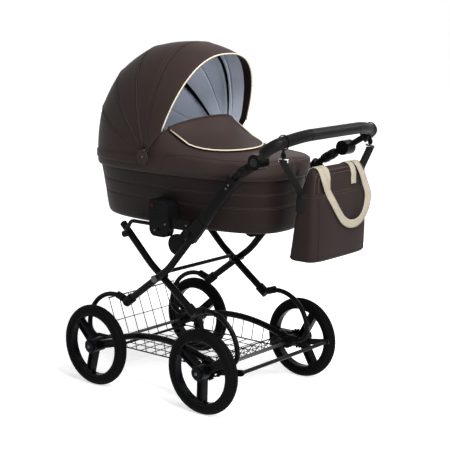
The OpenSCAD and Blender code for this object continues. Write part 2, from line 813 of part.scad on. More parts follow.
head_up = 12;
head_down = 34;
handle_y = outer_y + 8;
bracket_in = adapter_in + 6;
bracket_t = 14;
latch_pivot = [150, carry_z - 16];
latch_pin_d = 8;
latch_disc = [-72, -80];
latch_disc_d = 74;

// Local Z runs up the upper handle tube from its end
module on_tube(y) {
    translate([top_x, -y, handle_tube_top]) rotate([0, 90 - tube_slope, 0]) children();
}

// Bracket at the top of a handle tube that also takes the load of the adapter
module hinge_brackets() {
    sleeve_down = 48;
    link_z = [carry_z - 36, carry_z - 2];
    recess = 4;
    color("#1a1b1c") both_sides() difference() {
        union() {
            on_tube(outer_y) translate([0, 0, -sleeve_down]) cylinder(d = tube_d + 2 * wall,
                h = sleeve_down + head_up);
            on_tube(handle_y) translate([0, 0, -head_down]) linear_extrude(height = head_down + head_up)
                round_rect(sleeve_w + 4, sleeve_t + 4, 10);
            y_plate(bracket_in, bracket_in + bracket_t) translate([adapter_x[1] + seat, link_z[0]])
                square([top_x - 14 - adapter_x[1], link_z[1] - link_z[0]]);
            y_pin(latch_pivot, latch_pin_d, latch_in, bracket_in + 1);
        }
        on_tube(outer_y) translate([0, 0, -2 * sleeve_down]) cylinder(d = tube_d + 2 * seat,
            h = 2 * sleeve_down + seat);
        on_tube(handle_y) translate([0, -sleeve_t / 2 - 2 + recess, -head_down / 2 + 4]) rotate([90, 0, 0])
            linear_extrude(height = 2 * recess) polygon([[-14, 10], [14, 10], [2, -14]]);
    }
}

// Fold latch: a round paddle on a slotted link behind the handle tube
module fold_latch_form() {
    link_w = 26;
    slot_w = 10;
    disc = latch_pivot + latch_disc;
    slot = [latch_pivot + 0.3 * latch_disc, latch_pivot + 0.42 * latch_disc];
    difference() {
        y_plate(latch_in + seat, latch_out - seat) difference() {
            union() {
                bar_2d(latch_pivot, disc, link_w);
                translate(disc) circle(d = latch_disc_d);
            }
            bar_2d(slot[0], slot[1], slot_w);
        }
        y_pin(latch_pivot, latch_pin_d + 2 * fit, latch_in - 1, latch_out + 1);
    }
}

module fold_latch_left() { color("#141415") fold_latch_form(); }
module fold_latch_right() { color("#141415") side(true) fold_latch_form(); }

arm_in = 70;
arm_bend_out = 14;
arm_bend_r = 50;
sleeve_from = head_up + seat;
tube_end = [top_x, handle_tube_top];
arm_corner = tube_end + (sleeve_from + sleeve_len + arm_bend_out) * tube_up;
knuckle = arm_corner + arm_len * [cos(arm_angle), sin(arm_angle)];
arm_start = tube_end + (sleeve_from + sleeve_len - arm_in) * tube_up;

module handle_sleeves() {
    collar = 40;
    mouth = 24;
    color("#18191a") both_sides() on_tube(handle_y) difference() {
        union() {
            translate([0, 0, sleeve_from]) linear_extrude(height = sleeve_len)
                round_rect(sleeve_w, sleeve_t, 12);
            translate([0, 0, sleeve_from]) linear_extrude(height = collar)
                round_rect(sleeve_w + 4, sleeve_t + 4, 12);
            translate([0, 0, sleeve_from + sleeve_len - mouth]) linear_extrude(height = mouth)
                round_rect(sleeve_w + 6, sleeve_t + 5, 14);
        }
        translate([0, 0, sleeve_from + sleeve_len - arm_in - seat]) cylinder(d = arm_d + 2 * seat,
            h = arm_in + 1);
    }
}

knuckle_out = handle_y + knuckle_t / 2;
knuckle_cap_in = knuckle_out + soft;
knuckle_cap_out = knuckle_cap_in + knuckle_cap_t;
knuckle_pin_d = 14;
knuckle_pin_l = 12;
button_sink = 8;

module handle_arms() {
    color("#1c1d1f") both_sides() {
        side_tube([arm_start, arm_corner, knuckle], [arm_bend_r], arm_d, handle_y);
        y_pin(knuckle, knuckle_d, handle_y - knuckle_t / 2, knuckle_out);
        y_pin(knuckle, knuckle_pin_d, knuckle_out - 1, knuckle_cap_in + knuckle_pin_l);
    }
}

// Grip loop, drawn with Y across the pram and the second axis up its slope
grip_half_w = frame_half_w + grip_out;
grip_corner = [grip_half_w, 0.72 * grip_reach];
grip_shoulder = [0.55 * grip_half_w, grip_reach];
grip_start = [(knuckle_cap_in + knuckle_cap_out) / 2, knuckle_d / 2 - 6];
grip_bends = [44, 260, 260, 44];
function crossed(p) = [-p[0], p[1]];

module in_grip_plane() {
    c = cos(grip_angle);
    s = sin(grip_angle);
    multmatrix([[0, c, s, knuckle[0]], [1, 0, 0, 0], [0, s, -c, knuckle[1]], [0, 0, 0, 1]]) children();
}

module grip_loop(start, d) {
    in_grip_plane() flat_tube(
        [start, grip_corner, grip_shoulder, crossed(grip_shoulder), crossed(grip_corner),
            crossed(start)], grip_bends, d);
}

module grip_tube() {
    color("#18191a") {
        grip_loop(grip_start, grip_d);
        both_sides() difference() {
            y_pin(knuckle, knuckle_d, knuckle_cap_in, knuckle_cap_out);
            y_pin(knuckle, knuckle_pin_d + 2 * fit, knuckle_cap_in - 1,
                knuckle_cap_in + knuckle_pin_l + soft);
            y_pin(knuckle, button_d + 4 * seat, knuckle_cap_out - button_sink, knuckle_cap_out + 1);
        }
    }
}

// Padded cover over the bar and the upper half of both sides
module grip_cover() {
    from = 0.45;
    color("#26211f") difference() {
        grip_loop(grip_start + from * (grip_corner - grip_start), cover_d);
        grip_loop(grip_start, grip_d + 2 * seat);
    }
}

module height_button_form() {
    proud = 3;
    y_pin(knuckle, button_d, knuckle_cap_out - button_sink + button_travel + soft, knuckle_cap_out + proud);
}

module height_button_left() { color("#2c2d2f") height_button_form(); }
module height_button_right() { color("#2c2d2f") side(true) height_button_form(); }

// Carrycot

cot_a = cot_len / 2;
cot_b = cot_w / 2;
cot_end_taper = 20;
cot_floor_t = 10;
rim_cap = 24;
rim_top = cot_rim_z + rim_cap;
cot_points = 56;

// Outline of the carrycot let out by d, or drawn in by less at the ends than at the sides
function cot_ring(z, end_d, side_d) = [for (i = [0:cot_points - 1])
    let(p = superellipse(cot_a + end_d, cot_b + side_d, cot_round, 360 * i / cot_points))
        [cot_x + p[0], p[1], z]];

module cot_shell() {
    e = -cot_end_taper;
    t = -cot_taper;
    w = cot_wall;
    color("#3a2e2a") skin([
        cot_ring(cot_z, e - 18, t - 18),
        cot_ring(cot_z + cot_edge / 4, e - 8, t - 8),
        cot_ring(cot_z + cot_edge, e, t),
        cot_ring(cot_rim_z, 0, 0),
        cot_ring(cot_rim_z, -w, -w),
        cot_ring(cot_z + cot_edge, e - w, t - w),
        cot_ring(cot_z + cot_floor_t, e - w - 8, t - w - 8)]);
}

// Padded rim over the top edge of the shell
module cot_rim() {
    low = rim_top - rim_h;
    seat_z = cot_rim_z + seat;
    section = [[soft, low], [soft, seat_z], [-cot_wall - 2, seat_z], [-cot_wall - 2, rim_top],
        [rim_out - 5, rim_top],
        [rim_out, rim_top - 8], [rim_out, low + 8], [rim_out - 3, low]];
    color("#3a2e2a") hoop([for (i = [0:cot_points - 1]) [for (q = section)
        let(p = superellipse(cot_a + q[0], cot_b + q[0], cot_round, 360 * i / cot_points))
            [cot_x + p[0], p[1], q[1]]]]);
}

module mattress() {
    e = -cot_end_taper - cot_wall - soft;
    t = -cot_taper - cot_wall - soft;
    low = cot_z + cot_floor_t + 2 * seat;
    high = low + mattress_t;
    color("#d9dde0") skin([
        cot_ring(low, e - 12, t - 12),
        cot_ring(low + 0.2 * mattress_t, e - 2, t - 2),
        cot_ring(low + 0.55 * mattress_t, e - 3, t - 3),
        cot_ring(low + 0.8 * mattress_t, e - 12, t - 12),
        cot_ring(low + 0.93 * mattress_t, e - 0.14 * cot_a, t - 0.24 * cot_b),
        cot_ring(high, e - 0.38 * cot_a, t - 0.45 * cot_b)]);
}

// Hood

hood_w = cot_w + 2 * hood_out;
hood_z = rim_top + hood_up;
hood_low_turn = 180 + asin((hood_up - 2 * soft) / hood_r);
hood_edge = [for (i = [0:3]) hood_front + visor_span + i * fold_step];
hood_leg_r = 128;
visor_drop = 20;
visor_top = [hood_r * cos(hood_front - 1.7) - hood_x, hood_r * sin(hood_front - 1.7) + hood_z];

// Cross-section of one panel: radius from the hood pivot against width, thick along the panel
function hood_arc(r, hw) = [for (i = [0:24]) superellipse(r, hw, hood_round, 7.5 * i - 90)];

module hood_panel(k, from, to, r0) {
    d = k * panel_step;
    outer = hood_arc(hood_r - d, hood_w / 2 - d);
    inner = hood_arc(hood_r - d - panel_t, hood_w / 2 - d - panel_t);
    translate([-hood_x, 0, hood_z]) rotate([90, 0, 0]) rotate(from)
        rotate_extrude(angle = to - from, $fn = 120)
        intersection() {
            polygon(concat(outer, [for (i = [24:-1:0]) inner[i]]));
            translate([r0, -hood_w]) square([hood_r, 2 * hood_w]);
        }
}

// Panel k from the seam at one angle to the seam at another, up to the pivot pin
module pinned_panel(k, from, to) {
    hood_panel(k, from, to, hood_pin_d / 2 + fit);
}

// The visor's front edge is cut along a leaning plane
module hood_visor() {
    color("#3d312c") difference() {
        hood_panel(0, hood_front - visor_drop, hood_edge[0] + panel_lap, hood_leg_r);
        translate([visor_top[0], -hood_w, visor_top[1]]) rotate([0, visor_lean, 0])
            translate([0, 0, -2 * hood_r]) cube([hood_r, 2 * hood_w, 3 * hood_r]);
    }
}

module hood_fore() { color("#3d312c") pinned_panel(1, hood_edge[0] - panel_lap, hood_edge[1] + panel_lap); }
module hood_crown() { color("#3d312c") pinned_panel(2, hood_edge[1] - panel_lap,
    hood_edge[2] + panel_lap); }
module hood_middle() { color("#3d312c") pinned_panel(3, hood_edge[2] - panel_lap,
    hood_edge[3] + panel_lap); }
module hood_rear() { color("#3d312c") pinned_panel(4, hood_edge[3] - panel_lap, hood_low_turn); }
module hood_bow_middle() { color("#23262a") pinned_panel(5, hood_edge[2] - panel_lap - 4,
    hood_edge[2] - panel_lap); }
module hood_bow_front() { color("#23262a") pinned_panel(6, hood_edge[0] - 2, hood_edge[0] + 1); }

hood_plate_out = hood_w / 2 - 6 * panel_step - panel_t - 2 * soft;

// Hinge plates on the rim with the pin that carries every hood panel
module hood_hinges() {
    plate_t = 8;
    foot = 44;
    cap_d = 30;
    cap_t = 5;
    color("#202225") both_sides() {
        y_plate(hood_plate_out - plate_t, hood_plate_out) translate([-hood_x, rim_top + seat]) {
            translate([-foot / 2, 0]) square([foot, hood_up - 4]);
            intersection() {
                translate([0, hood_up - seat]) circle(d = foot - 14);
                translate([-foot, 0]) square([2 * foot, foot]);
            }
        }
        y_pin([-hood_x, hood_z], hood_pin_d, hood_plate_out - 1, hood_w / 2 + soft);
        y_pin([-hood_x, hood_z], cap_d, hood_w / 2 + soft, hood_w / 2 + soft + cap_t);
    }
}

// Apron

apron_points = 16;
apron_rows = 20;
apron_base = rim_top + soft;
function apron_turn(x) = acos(sign(x - cot_x) * pow(abs(x - cot_x) / cot_a, cot_round / 2));
apron_turn_front = apron_turn(-apron_front);
apron_turn_rear = 1.2;
// How fast the arch falls towards the foot, and how square it is across: 1 is an ellipse
apron_fall = 2.6;
apron_square = 0.55;
// Angles of climb between which the flap lies
flap_from = 38;
flap_to = 142;

// A point of the apron: t runs round the rim, f climbs from the near rim over to the far rim
function apron_pt(t, f, d) =
    let(r = superellipse(cot_a + rim_out + soft + d, cot_b + rim_out + soft + d, cot_round, t),
        q = min(1, max(0, (cot_x + r[0] + apron_front) / (cot_a + cot_x + apron_front))),
        k = pow(1 - q, apron_fall),
        lean = apron_lean * k - apron_foot * q,
        h = apron_foot + (apron_rise - apron_foot) * k)
    [cot_x + r[0] + lean * sin(f), -r[1] * cos(f), apron_base + d + h * pow(sin(f), apron_square)];

function apron_low(t, f, d) = let(p = apron_pt(t, f, d)) [p[0], p[1], apron_base - skirt_h];

function apron_row(t, d) = concat([apron_low(t, 0, d)],
    [for (j = [0:apron_points]) apron_pt(t, 180 * j / apron_points, d)], [apron_low(t, 180, d)]);

// A thin closed solid between two sheets of points, rows front to rear and columns near to far
module sheet(o, n) {
    rows = len(o);
    cols = len(o[0]);
    function at(k, j, s) = s * rows * cols + k * cols + j;
    function quad(a, b, c, d) = [[a, b, c], [a, c, d]];
    top = [for (k = [0:rows - 2], j = [0:cols - 2]) each quad(at(k, j, 0), at(k, j + 1, 0),
        at(k + 1, j + 1, 0), at(k + 1, j, 0))];
    low = [for (k = [0:rows - 2], j = [0:cols - 2]) each quad(at(k, j, 1), at(k + 1, j, 1),
        at(k + 1, j + 1, 1), at(k, j + 1, 1))];
    ends = [for (k = [0:rows - 2]) each concat(
        quad(at(k, 0, 0), at(k + 1, 0, 0), at(k + 1, 0, 1), at(k, 0, 1)),
        quad(at(k + 1, cols - 1, 0), at(k, cols - 1, 0), at(k, cols - 1, 1), at(k + 1, cols - 1, 1)))];
    sides = [for (j = [0:cols - 2]) each concat(
        quad(at(0, j + 1, 0), at(0, j, 0), at(0, j, 1), at(0, j + 1, 1)),
        quad(at(rows - 1, j, 0), at(rows - 1, j + 1, 0), at(rows - 1, j + 1, 1), at(rows - 1, j, 1)))];
    polyhedron([for (s = [o, n], r = s, p = r) p], concat(top, low, ends, sides));
}

module apron() {
    turns = [for (k = [0:apron_rows]) let(w = k / apron_rows)
        apron_turn_front + (apron_turn_rear - apron_turn_front) * pow(w, 1.5)];
    color("#3d312c") sheet([for (t = turns) apron_row(t, apron_t)], [for (t = turns) apron_row(t, 0)]);
}

// Front edge of the apron turned back over itself
module apron_flap() {
    reach = apron_turn_front - apron_turn(flap_len - apron_front);
    gap = apron_t + 2 * soft;
    function row(v, d) = [for (j = [0:apron_points]) let(u = j / apron_points,
        f = flap_from + (flap_to - flap_from) * u)
        apron_pt(apron_turn_front - reach * v * (0.15 + 0.85 * pow(sin(180 * u), 0.6)), f, d)];
    color("#453833") sheet([for (v = [0:0.2:1]) row(v, gap + flap_t)], [for (v = [0:0.2:1]) row(v, gap)]);
}

// Changing bag

bag_clip_y = 0.83 * grip_half_w;
bag_clip_u = let(q = (grip_half_w - bag_clip_y) / (grip_half_w - grip_shoulder[0]))
    grip_corner[1] + q * (grip_shoulder[1] - grip_corner[1]);
bag_clip = knuckle + bag_clip_u * [cos(grip_angle), sin(grip_angle)];
bag_top = bag_clip[1] - bag_drop;
bag_low = bag_top - bag_h;
bag_points = 40;

// Ring of the bag at a share of its height, drawn in at the front, the rear and both ends
function bag_ring(share, front, rear, ends) = [for (i = [0:bag_points - 1])
    let(p = superellipse((bag_depth - front - rear) / 2, bag_w / 2 - ends, 4.5, 360 * i / bag_points))
    [bag_clip[0] + (front - rear) / 2 + p[0], p[1], bag_low + share * bag_h]];

// Height of the sewn band, above which the bag narrows to its zip
bag_band = 0.72;
// Share of the height, and how far the front, the rear and both ends are drawn in there
bag_shape = [[0, 8, 8, 8], [0.01, 3, 3, 3], [0.035, 0, 0, 0], [0.4, 20, -2, 0], [bag_band, 40, 0, 5],
    [bag_band + 0.02, 44, 5, 9], [0.9, 64, 6, 12], [0.97, 72, 14, 18], [1, 86, 28, 30]];

module bag_body() {
    color("#33302f") skin([for (q = bag_shape) bag_ring(q[0], q[1], q[2], q[3])]);
}

// Flat outline of a strap of width w along plane points
function strap_side(pts, w) = [for (i = [0:len(pts) - 1])
    let(u = along(pts[max(0, i - 1)], pts[min(len(pts) - 1, i + 1)])) pts[i] + w / 2 * [-u[1], u[0]]];
function strap_outline(pts, w) = let(l = strap_side(pts, w), r = strap_side(pts, -w))
    concat(l, [for (i = [len(r) - 1:-1:0]) r[i]]);

// Hanging straps: ring round the grip, snap hook and webbing down the end of the bag
module bag_straps() {
    ring_gap = 2.4;
    ring_t = 4;
    ring_w = 6;
    ring_r = cover_d / 2 + ring_gap + ring_t;
    function end_y(share) = lookup(share, [for (q = bag_shape)
        [q[0], q[3]]]) - bag_w / 2 - soft - webbing_t / 2;
    hang = bag_clip;
    join_z = hang[1] - ring_r - 34;
    foot = bag_band - 0.18;
    color("#8a8c90") both_sides() {
        difference() {
            y_pin(hang, 2 * ring_r, bag_clip_y - ring_w / 2, bag_clip_y + ring_w / 2);
            y_pin(hang, 2 * (ring_r - ring_t), bag_clip_y - ring_w, bag_clip_y + ring_w);
        }
        rod([hang[0], -bag_clip_y, hang[1] - ring_r + 1], [hang[0], -bag_clip_y, join_z], 9);
        translate([hang[0] - webbing_w / 2, 0, 0]) rotate([90, 0, 90]) linear_extrude(height = webbing_w)
            polygon(strap_outline([[-bag_clip_y, join_z], [end_y(bag_band), bag_low + bag_band * bag_h],
                [end_y(foot), bag_low + foot * bag_h]], webbing_t));
        translate([hang[0] - webbing_w / 2 - 3, -bag_clip_y - 4, join_z - 4]) cube([webbing_w + 6, 8, 8]);
    }
}

// A point on the front (s = -1) or rear (s = 1) of the bag at a share of its height, let out by g
function bag_face(share, s, g) = let(c = s < 0 ? 1 : 2)
    [bag_clip[0] + s * (bag_depth / 2 - lookup(share, [for (q = bag_shape) [q[0], q[c]]]) + g[0]),
        bag_low + share * bag_h + g[1]];

// A carrying loop: sewn on one face, over the bag's top, and a bight that hangs down face s with a lean
module bag_loop(s, hinge_out, lean, legs, sag) {
    w = webbing_w - 4;
    g = soft + webbing_t / 2 + 0.3;
    hinge = bag_face(0.88, s, [hinge_out, 0]);
    span = legs[1] - legs[0];
    bight = [for (q = [[0, 0], [0.22, 0.47], [0.5, 0.89], [0.68, 1],
                       [0.92, 0.92], [1.1, 0.62], [1.14, 0.34], [1, 0]])
        [legs[0] + q[0] * span, -q[1] * sag]];
    over = [hinge - w / 2 * [sin(lean), cos(lean)], hinge,
        bag_face(0.97, s, [0.84 * g, 0.63 * g]), bag_face(1, s, [0.32 * g, g]),
        bag_face(1, -s, [0.32 * g, g]), bag_face(0.97, -s, [0.84 * g, 0.63 * g]),
        bag_face(0.9, -s, [0.97 * g, 0.31 * g]), bag_face(0.78, -s, [g, 0])];
    translate([hinge[0], 0, hinge[1]]) rotate([0, lean, 0]) translate([-webbing_t / 2, 0, 0])
        rotate([90, 0, 90]) linear_extrude(height = webbing_t) polygon(strap_outline(bight, w));
    for (y = legs) translate([0, y + w / 2, 0]) rotate([90, 0, 0]) linear_extrude(height = w)
        polygon(strap_outline(over, webbing_t));
}

// The loop sewn on the front falls over the rear face, and the other way round
module bag_handles() {
    color("#cfc6b0") {
        bag_loop(1, 11, 0, [-0.35 * bag_w, 0.31 * bag_w], 0.53 * bag_h);
        bag_loop(-1, 10.5, 15, [-0.2 * bag_w, 0.2 * bag_w], 0.48 * bag_h);
    }
}

handle_tube_left();
handle_tube_right();
front_tube_left();
front_tube_right();
front_tube_caps();
cross_bolts();
pivot_crossbar();
springs_front();
springs_rear();
spring_shoes();
side_beam_left();
side_beam_right();
axle_blocks();
axles();
basket_floor();
basket_side_walls();
basket_end_walls();
top_rails();
cot_adapters();
hinge_brackets();
fold_latch_left();
fold_latch_right();
handle_sleeves();
handle_arms();
grip_tube();
grip_cover();
height_button_left();
height_button_right();
brake_bar();
tyre_front_left();
tyre_front_right();
tyre_rear_left();
tyre_rear_right();
rim_front_left();
rim_front_right();
rim_rear_left();
rim_rear_right();
hub_front_left();
hub_front_right();
hub_rear_left();
hub_rear_right();
cot_shell();
cot_rim();
mattress();
cot_brackets();
release_button_left();
release_button_right();
hood_hinges();
hood_rear();
hood_middle();
hood_crown();
hood_fore();
hood_visor();
hood_bow_front();
hood_bow_middle();
apron();
apron_flap();
bag_body();
bag_handles();
bag_straps();
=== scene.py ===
# %% [markdown]
# # A bassinet pram, dressed for its portrait
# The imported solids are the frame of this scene: tubes, wheels and joints are already where they
# belong. This lesson lights them, gives every surface a finish, and replaces the plain soft solids
# (carrycot, hood, apron, bag) by sewn pieces with seams, piping and stitches.

# %% Load the frame
import json
import math

import bmesh
import bpy
from mathutils import Matrix, Vector


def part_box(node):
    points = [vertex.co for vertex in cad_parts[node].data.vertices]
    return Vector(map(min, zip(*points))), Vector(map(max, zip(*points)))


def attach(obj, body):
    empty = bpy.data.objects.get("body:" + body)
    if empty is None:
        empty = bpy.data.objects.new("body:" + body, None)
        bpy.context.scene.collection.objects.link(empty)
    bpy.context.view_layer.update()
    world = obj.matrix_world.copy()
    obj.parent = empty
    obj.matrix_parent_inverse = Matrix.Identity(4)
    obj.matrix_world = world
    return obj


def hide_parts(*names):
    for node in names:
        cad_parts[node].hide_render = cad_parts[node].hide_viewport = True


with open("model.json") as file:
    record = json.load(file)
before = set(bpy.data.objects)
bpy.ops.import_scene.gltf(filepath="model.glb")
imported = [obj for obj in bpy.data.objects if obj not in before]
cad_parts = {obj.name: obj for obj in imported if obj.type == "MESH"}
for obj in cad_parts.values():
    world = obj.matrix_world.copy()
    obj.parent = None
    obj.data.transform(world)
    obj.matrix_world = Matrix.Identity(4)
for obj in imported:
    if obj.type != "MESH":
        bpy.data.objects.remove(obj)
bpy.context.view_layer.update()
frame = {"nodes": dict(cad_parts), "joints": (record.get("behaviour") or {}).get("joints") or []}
scene = bpy.context.scene
nodes = frame["nodes"]
joint = {j["name"]: j for j in frame["joints"]}

# %% [markdown]
# ## Camera
# A real camera is described by where it stands, where it looks and its focal length. These three
# were fitted to the wheels and the frame of the pram, so the view is the photographer's own. The
# long lens keeps the wheels nearly round.

# %% Camera
AZIMUTH, ELEVATION = math.radians(39.794), math.radians(10.728)
EYE = Vector((2.960, -3.407, 1.443))
SENSOR, FOCAL_PX, WIDE_PX = 36.0, 1255.77, 450.0
camera = bpy.data.objects.new("camera", bpy.data.cameras.new("camera"))
scene.collection.objects.link(camera)
camera.data.sensor_width = SENSOR
camera.data.lens = SENSOR * FOCAL_PX / WIDE_PX
ground = math.cos(ELEVATION)
look = Vector((-math.sin(AZIMUTH) * ground, math.cos(AZIMUTH) * ground, -math.sin(ELEVATION)))
camera.matrix_world = Matrix.Translation(EYE) @ look.to_track_quat("-Z", "Y").to_matrix().to_4x4()
scene.camera = camera
print("camera looks along", [round(c, 3) for c in look])

# %% [markdown]
# ## Studio
# A pale floor runs into a white world. A strong key lamp stands high on the handle's side, a low
# lamp below it looks into the hood, and two weak ones shine from above and from the far side. The
# world is white only for what the camera and reflections see, so it costs the pram no contrast.

# %% Studio
scene.view_settings.view_transform = "Standard"
SEEN_RAYS = ("Is Camera Ray", "Is Glossy Ray", "Is Transmission Ray")


def link(tree, *pairs):
    for a, b in pairs:
        tree.links.new(a, b)


def lamp(name, place, aim, size, power):
    data = bpy.data.lights.new(name, "AREA")
    data.shape, data.size, data.energy = "DISK", size, power
    made = bpy.data.objects.new(name, data)
    scene.collection.objects.link(made)
    toward = Vector(aim) - Vector(place)
    made.matrix_world = Matrix.Translation(place) @ toward.to_track_quat("-Z", "Y").to_matrix().to_4x4()
    return made


lamp("key", (2.4, -0.9, 3.3), (0.0, 0.0, 0.8), 1.5, 165)
lamp("front", (2.7, -1.2, 1.3), (0.0, 0.0, 1.0), 1.2, 42)
lamp("top", (0.3, -0.2, 4.2), (0.0, 0.0, 0.8), 1.4, 20)
lamp("rear", (1.6, 2.6, 2.6), (-0.1, 0.0, 0.9), 1.6, 30)

world = bpy.data.worlds.new("studio")
scene.world = world
world.use_nodes = True
tree = world.node_tree
tree.nodes.clear()
world_out = tree.nodes.new("ShaderNodeOutputWorld")
white, soft = [tree.nodes.new("ShaderNodeBackground") for _ in range(2)]
white.inputs["Color"].default_value = (1, 1, 1, 1)
soft.inputs["Color"].default_value = (0.93, 0.96, 1.0, 1)
soft.inputs["Strength"].default_value = 0.14
ray, pick = tree.nodes.new("ShaderNodeLightPath"), tree.nodes.new("ShaderNodeMixShader")
gloss, clear = [tree.nodes.new("ShaderNodeMath") for _ in range(2)]
gloss.operation = clear.operation = "MAXIMUM"
straight, mirrored, through = [ray.outputs[label] for label in SEEN_RAYS]
link(tree, (straight, gloss.inputs[0]), (mirrored, gloss.inputs[1]), (gloss.outputs[0], clear.inputs[0]),
     (through, clear.inputs[1]), (clear.outputs[0], pick.inputs[0]), (soft.outputs[0], pick.inputs[1]),
     (white.outputs[0], pick.inputs[2]), (pick.outputs[0], world_out.inputs[0]))

# %% [markdown]
# ## Finishes
# A finish is a Principled shader with small patterns in front of its sockets. Writing shader maths
# node by node hides the idea, so one class wraps a socket and lets Python's own operators add the
# Math nodes. Every pattern reads Object coordinates, in metres, so a scale of 900 means a grain of
# about a millimetre.

# %% Shader maths
class Value:
    """A shader value: + - * on it add Math nodes."""

    def __init__(self, finish, socket):
        self.finish, self.socket = finish, socket

    def maths(self, operation, a, b):
        return self.finish.add("ShaderNodeMath", {"operation": operation}, [a, b])

    def __add__(self, other): return self.maths("ADD", self, other)
    def __radd__(self, other): return self.maths("ADD", other, self)
    def __sub__(self, other): return self.maths("SUBTRACT", self, other)
    def __rsub__(self, other): return self.maths("SUBTRACT", other, self)
    def __mul__(self, other): return self.maths("MULTIPLY", self, other)
    def __rmul__(self, other): return self.maths("MULTIPLY", other, self)
    def sine(self): return self.maths("SINE", self, 0.0)
    def greater(self, other): return self.maths("MAXIMUM", self, other)


class Finish:
    """A material being built: add() makes any node, the rest are the few nodes used often."""

    def __init__(self, name, colour, roughness, **sockets):
        self.colour = colour
        self.material = bpy.data.materials.new(name)
        self.material.use_nodes = True
        self.tree = self.material.node_tree
        self.shader = self.tree.nodes["Principled BSDF"]
        self.shader.inputs["Base Color"].default_value = (*colour, 1.0)
        self.shader.inputs["Roughness"].default_value = roughness
        for key, value in sockets.items():
            self.shader.inputs[key.replace("_", " ")].default_value = value
        self.material.diffuse_color = (*colour, 1.0)

    def add(self, kind, settings, sockets, out=0):
        node = self.tree.nodes.new(kind)
        for key, value in settings.items():
            setattr(node, key, value)
        pairs = enumerate(sockets) if isinstance(sockets, list) else sockets.items()
        for key, value in pairs:
            if isinstance(value, Value):
                self.tree.links.new(value.socket, node.inputs[key])
            elif value is not None:
                node.inputs[key].default_value = value
        return Value(self, node.outputs[out])

    def place(self, kind="Object"):
        return self.add("ShaderNodeTexCoord", {}, {}, kind)

    def noise(self, scale, detail):
        return self.add("ShaderNodeTexNoise", {}, {"Vector": self.place(), "Scale": scale, "Detail": detail,
                                                   "Roughness": 0.55}, "Fac")

    def cells(self, scale):
        return self.add("ShaderNodeTexVoronoi", {"feature": "F1"}, {"Vector": self.place(), "Scale": scale}, "Distance")

    def parts(self, where):
        split = self.add("ShaderNodeSeparateXYZ", {}, {"Vector": where})
        return [Value(self, o) for o in split.socket.node.outputs]

    def blend(self, share, dark, light):
        return self.add("ShaderNodeMix", {"data_type": "RGBA"}, {0: share, 6: (*dark, 1.0), 7: (*light, 1.0)}, 2)

    def feed(self, socket, value):
        self.tree.links.new(value.socket, self.shader.inputs[socket])

    def tint(self, share, dark, light):
        """Lets the colour run from a darker to a lighter shade of itself."""
        self.feed("Base Color", self.blend(share, shade(self.colour, dark), shade(self.colour, light)))

    def bump(self, height, strength, distance):
        self.feed("Normal", self.add("ShaderNodeBump", {}, {"Strength": strength, "Distance": distance,
                                                            "Height": height}))
        return self


def shade(colour, by):
    """The same colour, lighter or darker."""
    return tuple(min(1.0, c * by) for c in colour)


# %% [markdown]
# ### Leatherette, cloth and webbing
# Leatherette is a printed grain on a vinyl face: small cells with fine creases between them, a soft
# sheen, and a slow change of tone where it is stretched. Lining and mattress are woven: two sine
# waves at right angles give the threads. Webbing has a coarse diagonal rib along its own length,
# so it reads the strap's UV map, which is in metres.

# %% Soft finishes
def leatherette(name, colour, roughness=0.46, grain=620.0):
    f = Finish(name, colour, roughness, Specular_IOR_Level=0.05)
    tone = f.noise(7.0, 4.0)
    fine = f.cells(grain) * 0.6 + f.noise(grain * 1.7, 2.0) * 0.4
    f.tint(tone * 0.7 + fine * 0.3, 0.72, 1.3)
    f.feed("Roughness", roughness - 0.10 + fine * 0.14 + tone * 0.10)
    return f.bump(fine, 0.35, 0.0006).material


def woven(name, colour, pitch, roughness=0.85):
    f = Finish(name, colour, roughness, Specular_IOR_Level=0.2)
    x, y, z = f.parts(f.place())
    wave = 2 * math.pi / pitch
    weave = ((x + y * 0.3) * wave).sine() * ((z + y) * wave).sine()
    tone = f.noise(14.0, 3.0)
    f.tint(weave * 0.25 + tone * 0.5 + 0.2, 0.80, 1.12)
    return f.bump(weave, 0.4, 0.0004).material


def webbing(name, colour):
    f = Finish(name, colour, 0.8, Specular_IOR_Level=0.12)
    u, v, _ = f.parts(f.place("UV"))
    twill, weft = 2 * math.pi / 0.0032, 2 * math.pi / 0.0045
    rib = ((u + v * 0.7) * twill).sine() * ((v - u * 0.4) * weft).sine()
    tone = f.noise(22.0, 3.0)
    f.tint(rib * 0.3 + tone * 0.5 + 0.2, 0.74, 1.12)
    return f.bump(rib, 0.6, 0.0007).material


BROWN = (0.0325, 0.0224, 0.0204)
CREAM = (0.62, 0.55, 0.43)
hide = leatherette("brown leatherette", BROWN)
hide_dark = leatherette("brown leatherette, cot", shade(BROWN, 0.46))
hide_bag = leatherette("brown leatherette, bag", shade(BROWN, 0.52), 0.5)
hide_grip = leatherette("black grip leather", (0.0048, 0.0047, 0.0047), 0.34, 800.0)
piping = leatherette("cream piping", CREAM, 0.5, 900.0)
thread = woven("brown thread", (0.055, 0.040, 0.034), 0.0009)
lining = woven("blue-grey lining", (0.68, 0.73, 0.84), 0.0016, 0.45)
ticking = woven("white mattress cloth", (0.72, 0.74, 0.76), 0.002)
strap_cream = webbing("cream webbing", shade(CREAM, 0.54))
strap_black = webbing("black webbing", (0.0045, 0.0045, 0.0048))
print("soft finishes:", len(bpy.data.materials))

# %% [markdown]
# ### Paint, plastic, rubber and steel
# The tubes are satin black with the faint orange peel of powder coat. Moulded parts have a fine
# spark-eroded grain. The rims are a charcoal plastic with a little more gloss. Rubber is matt with
# a dusty tread. A little dry wear shows where a noise is high, never as lines.

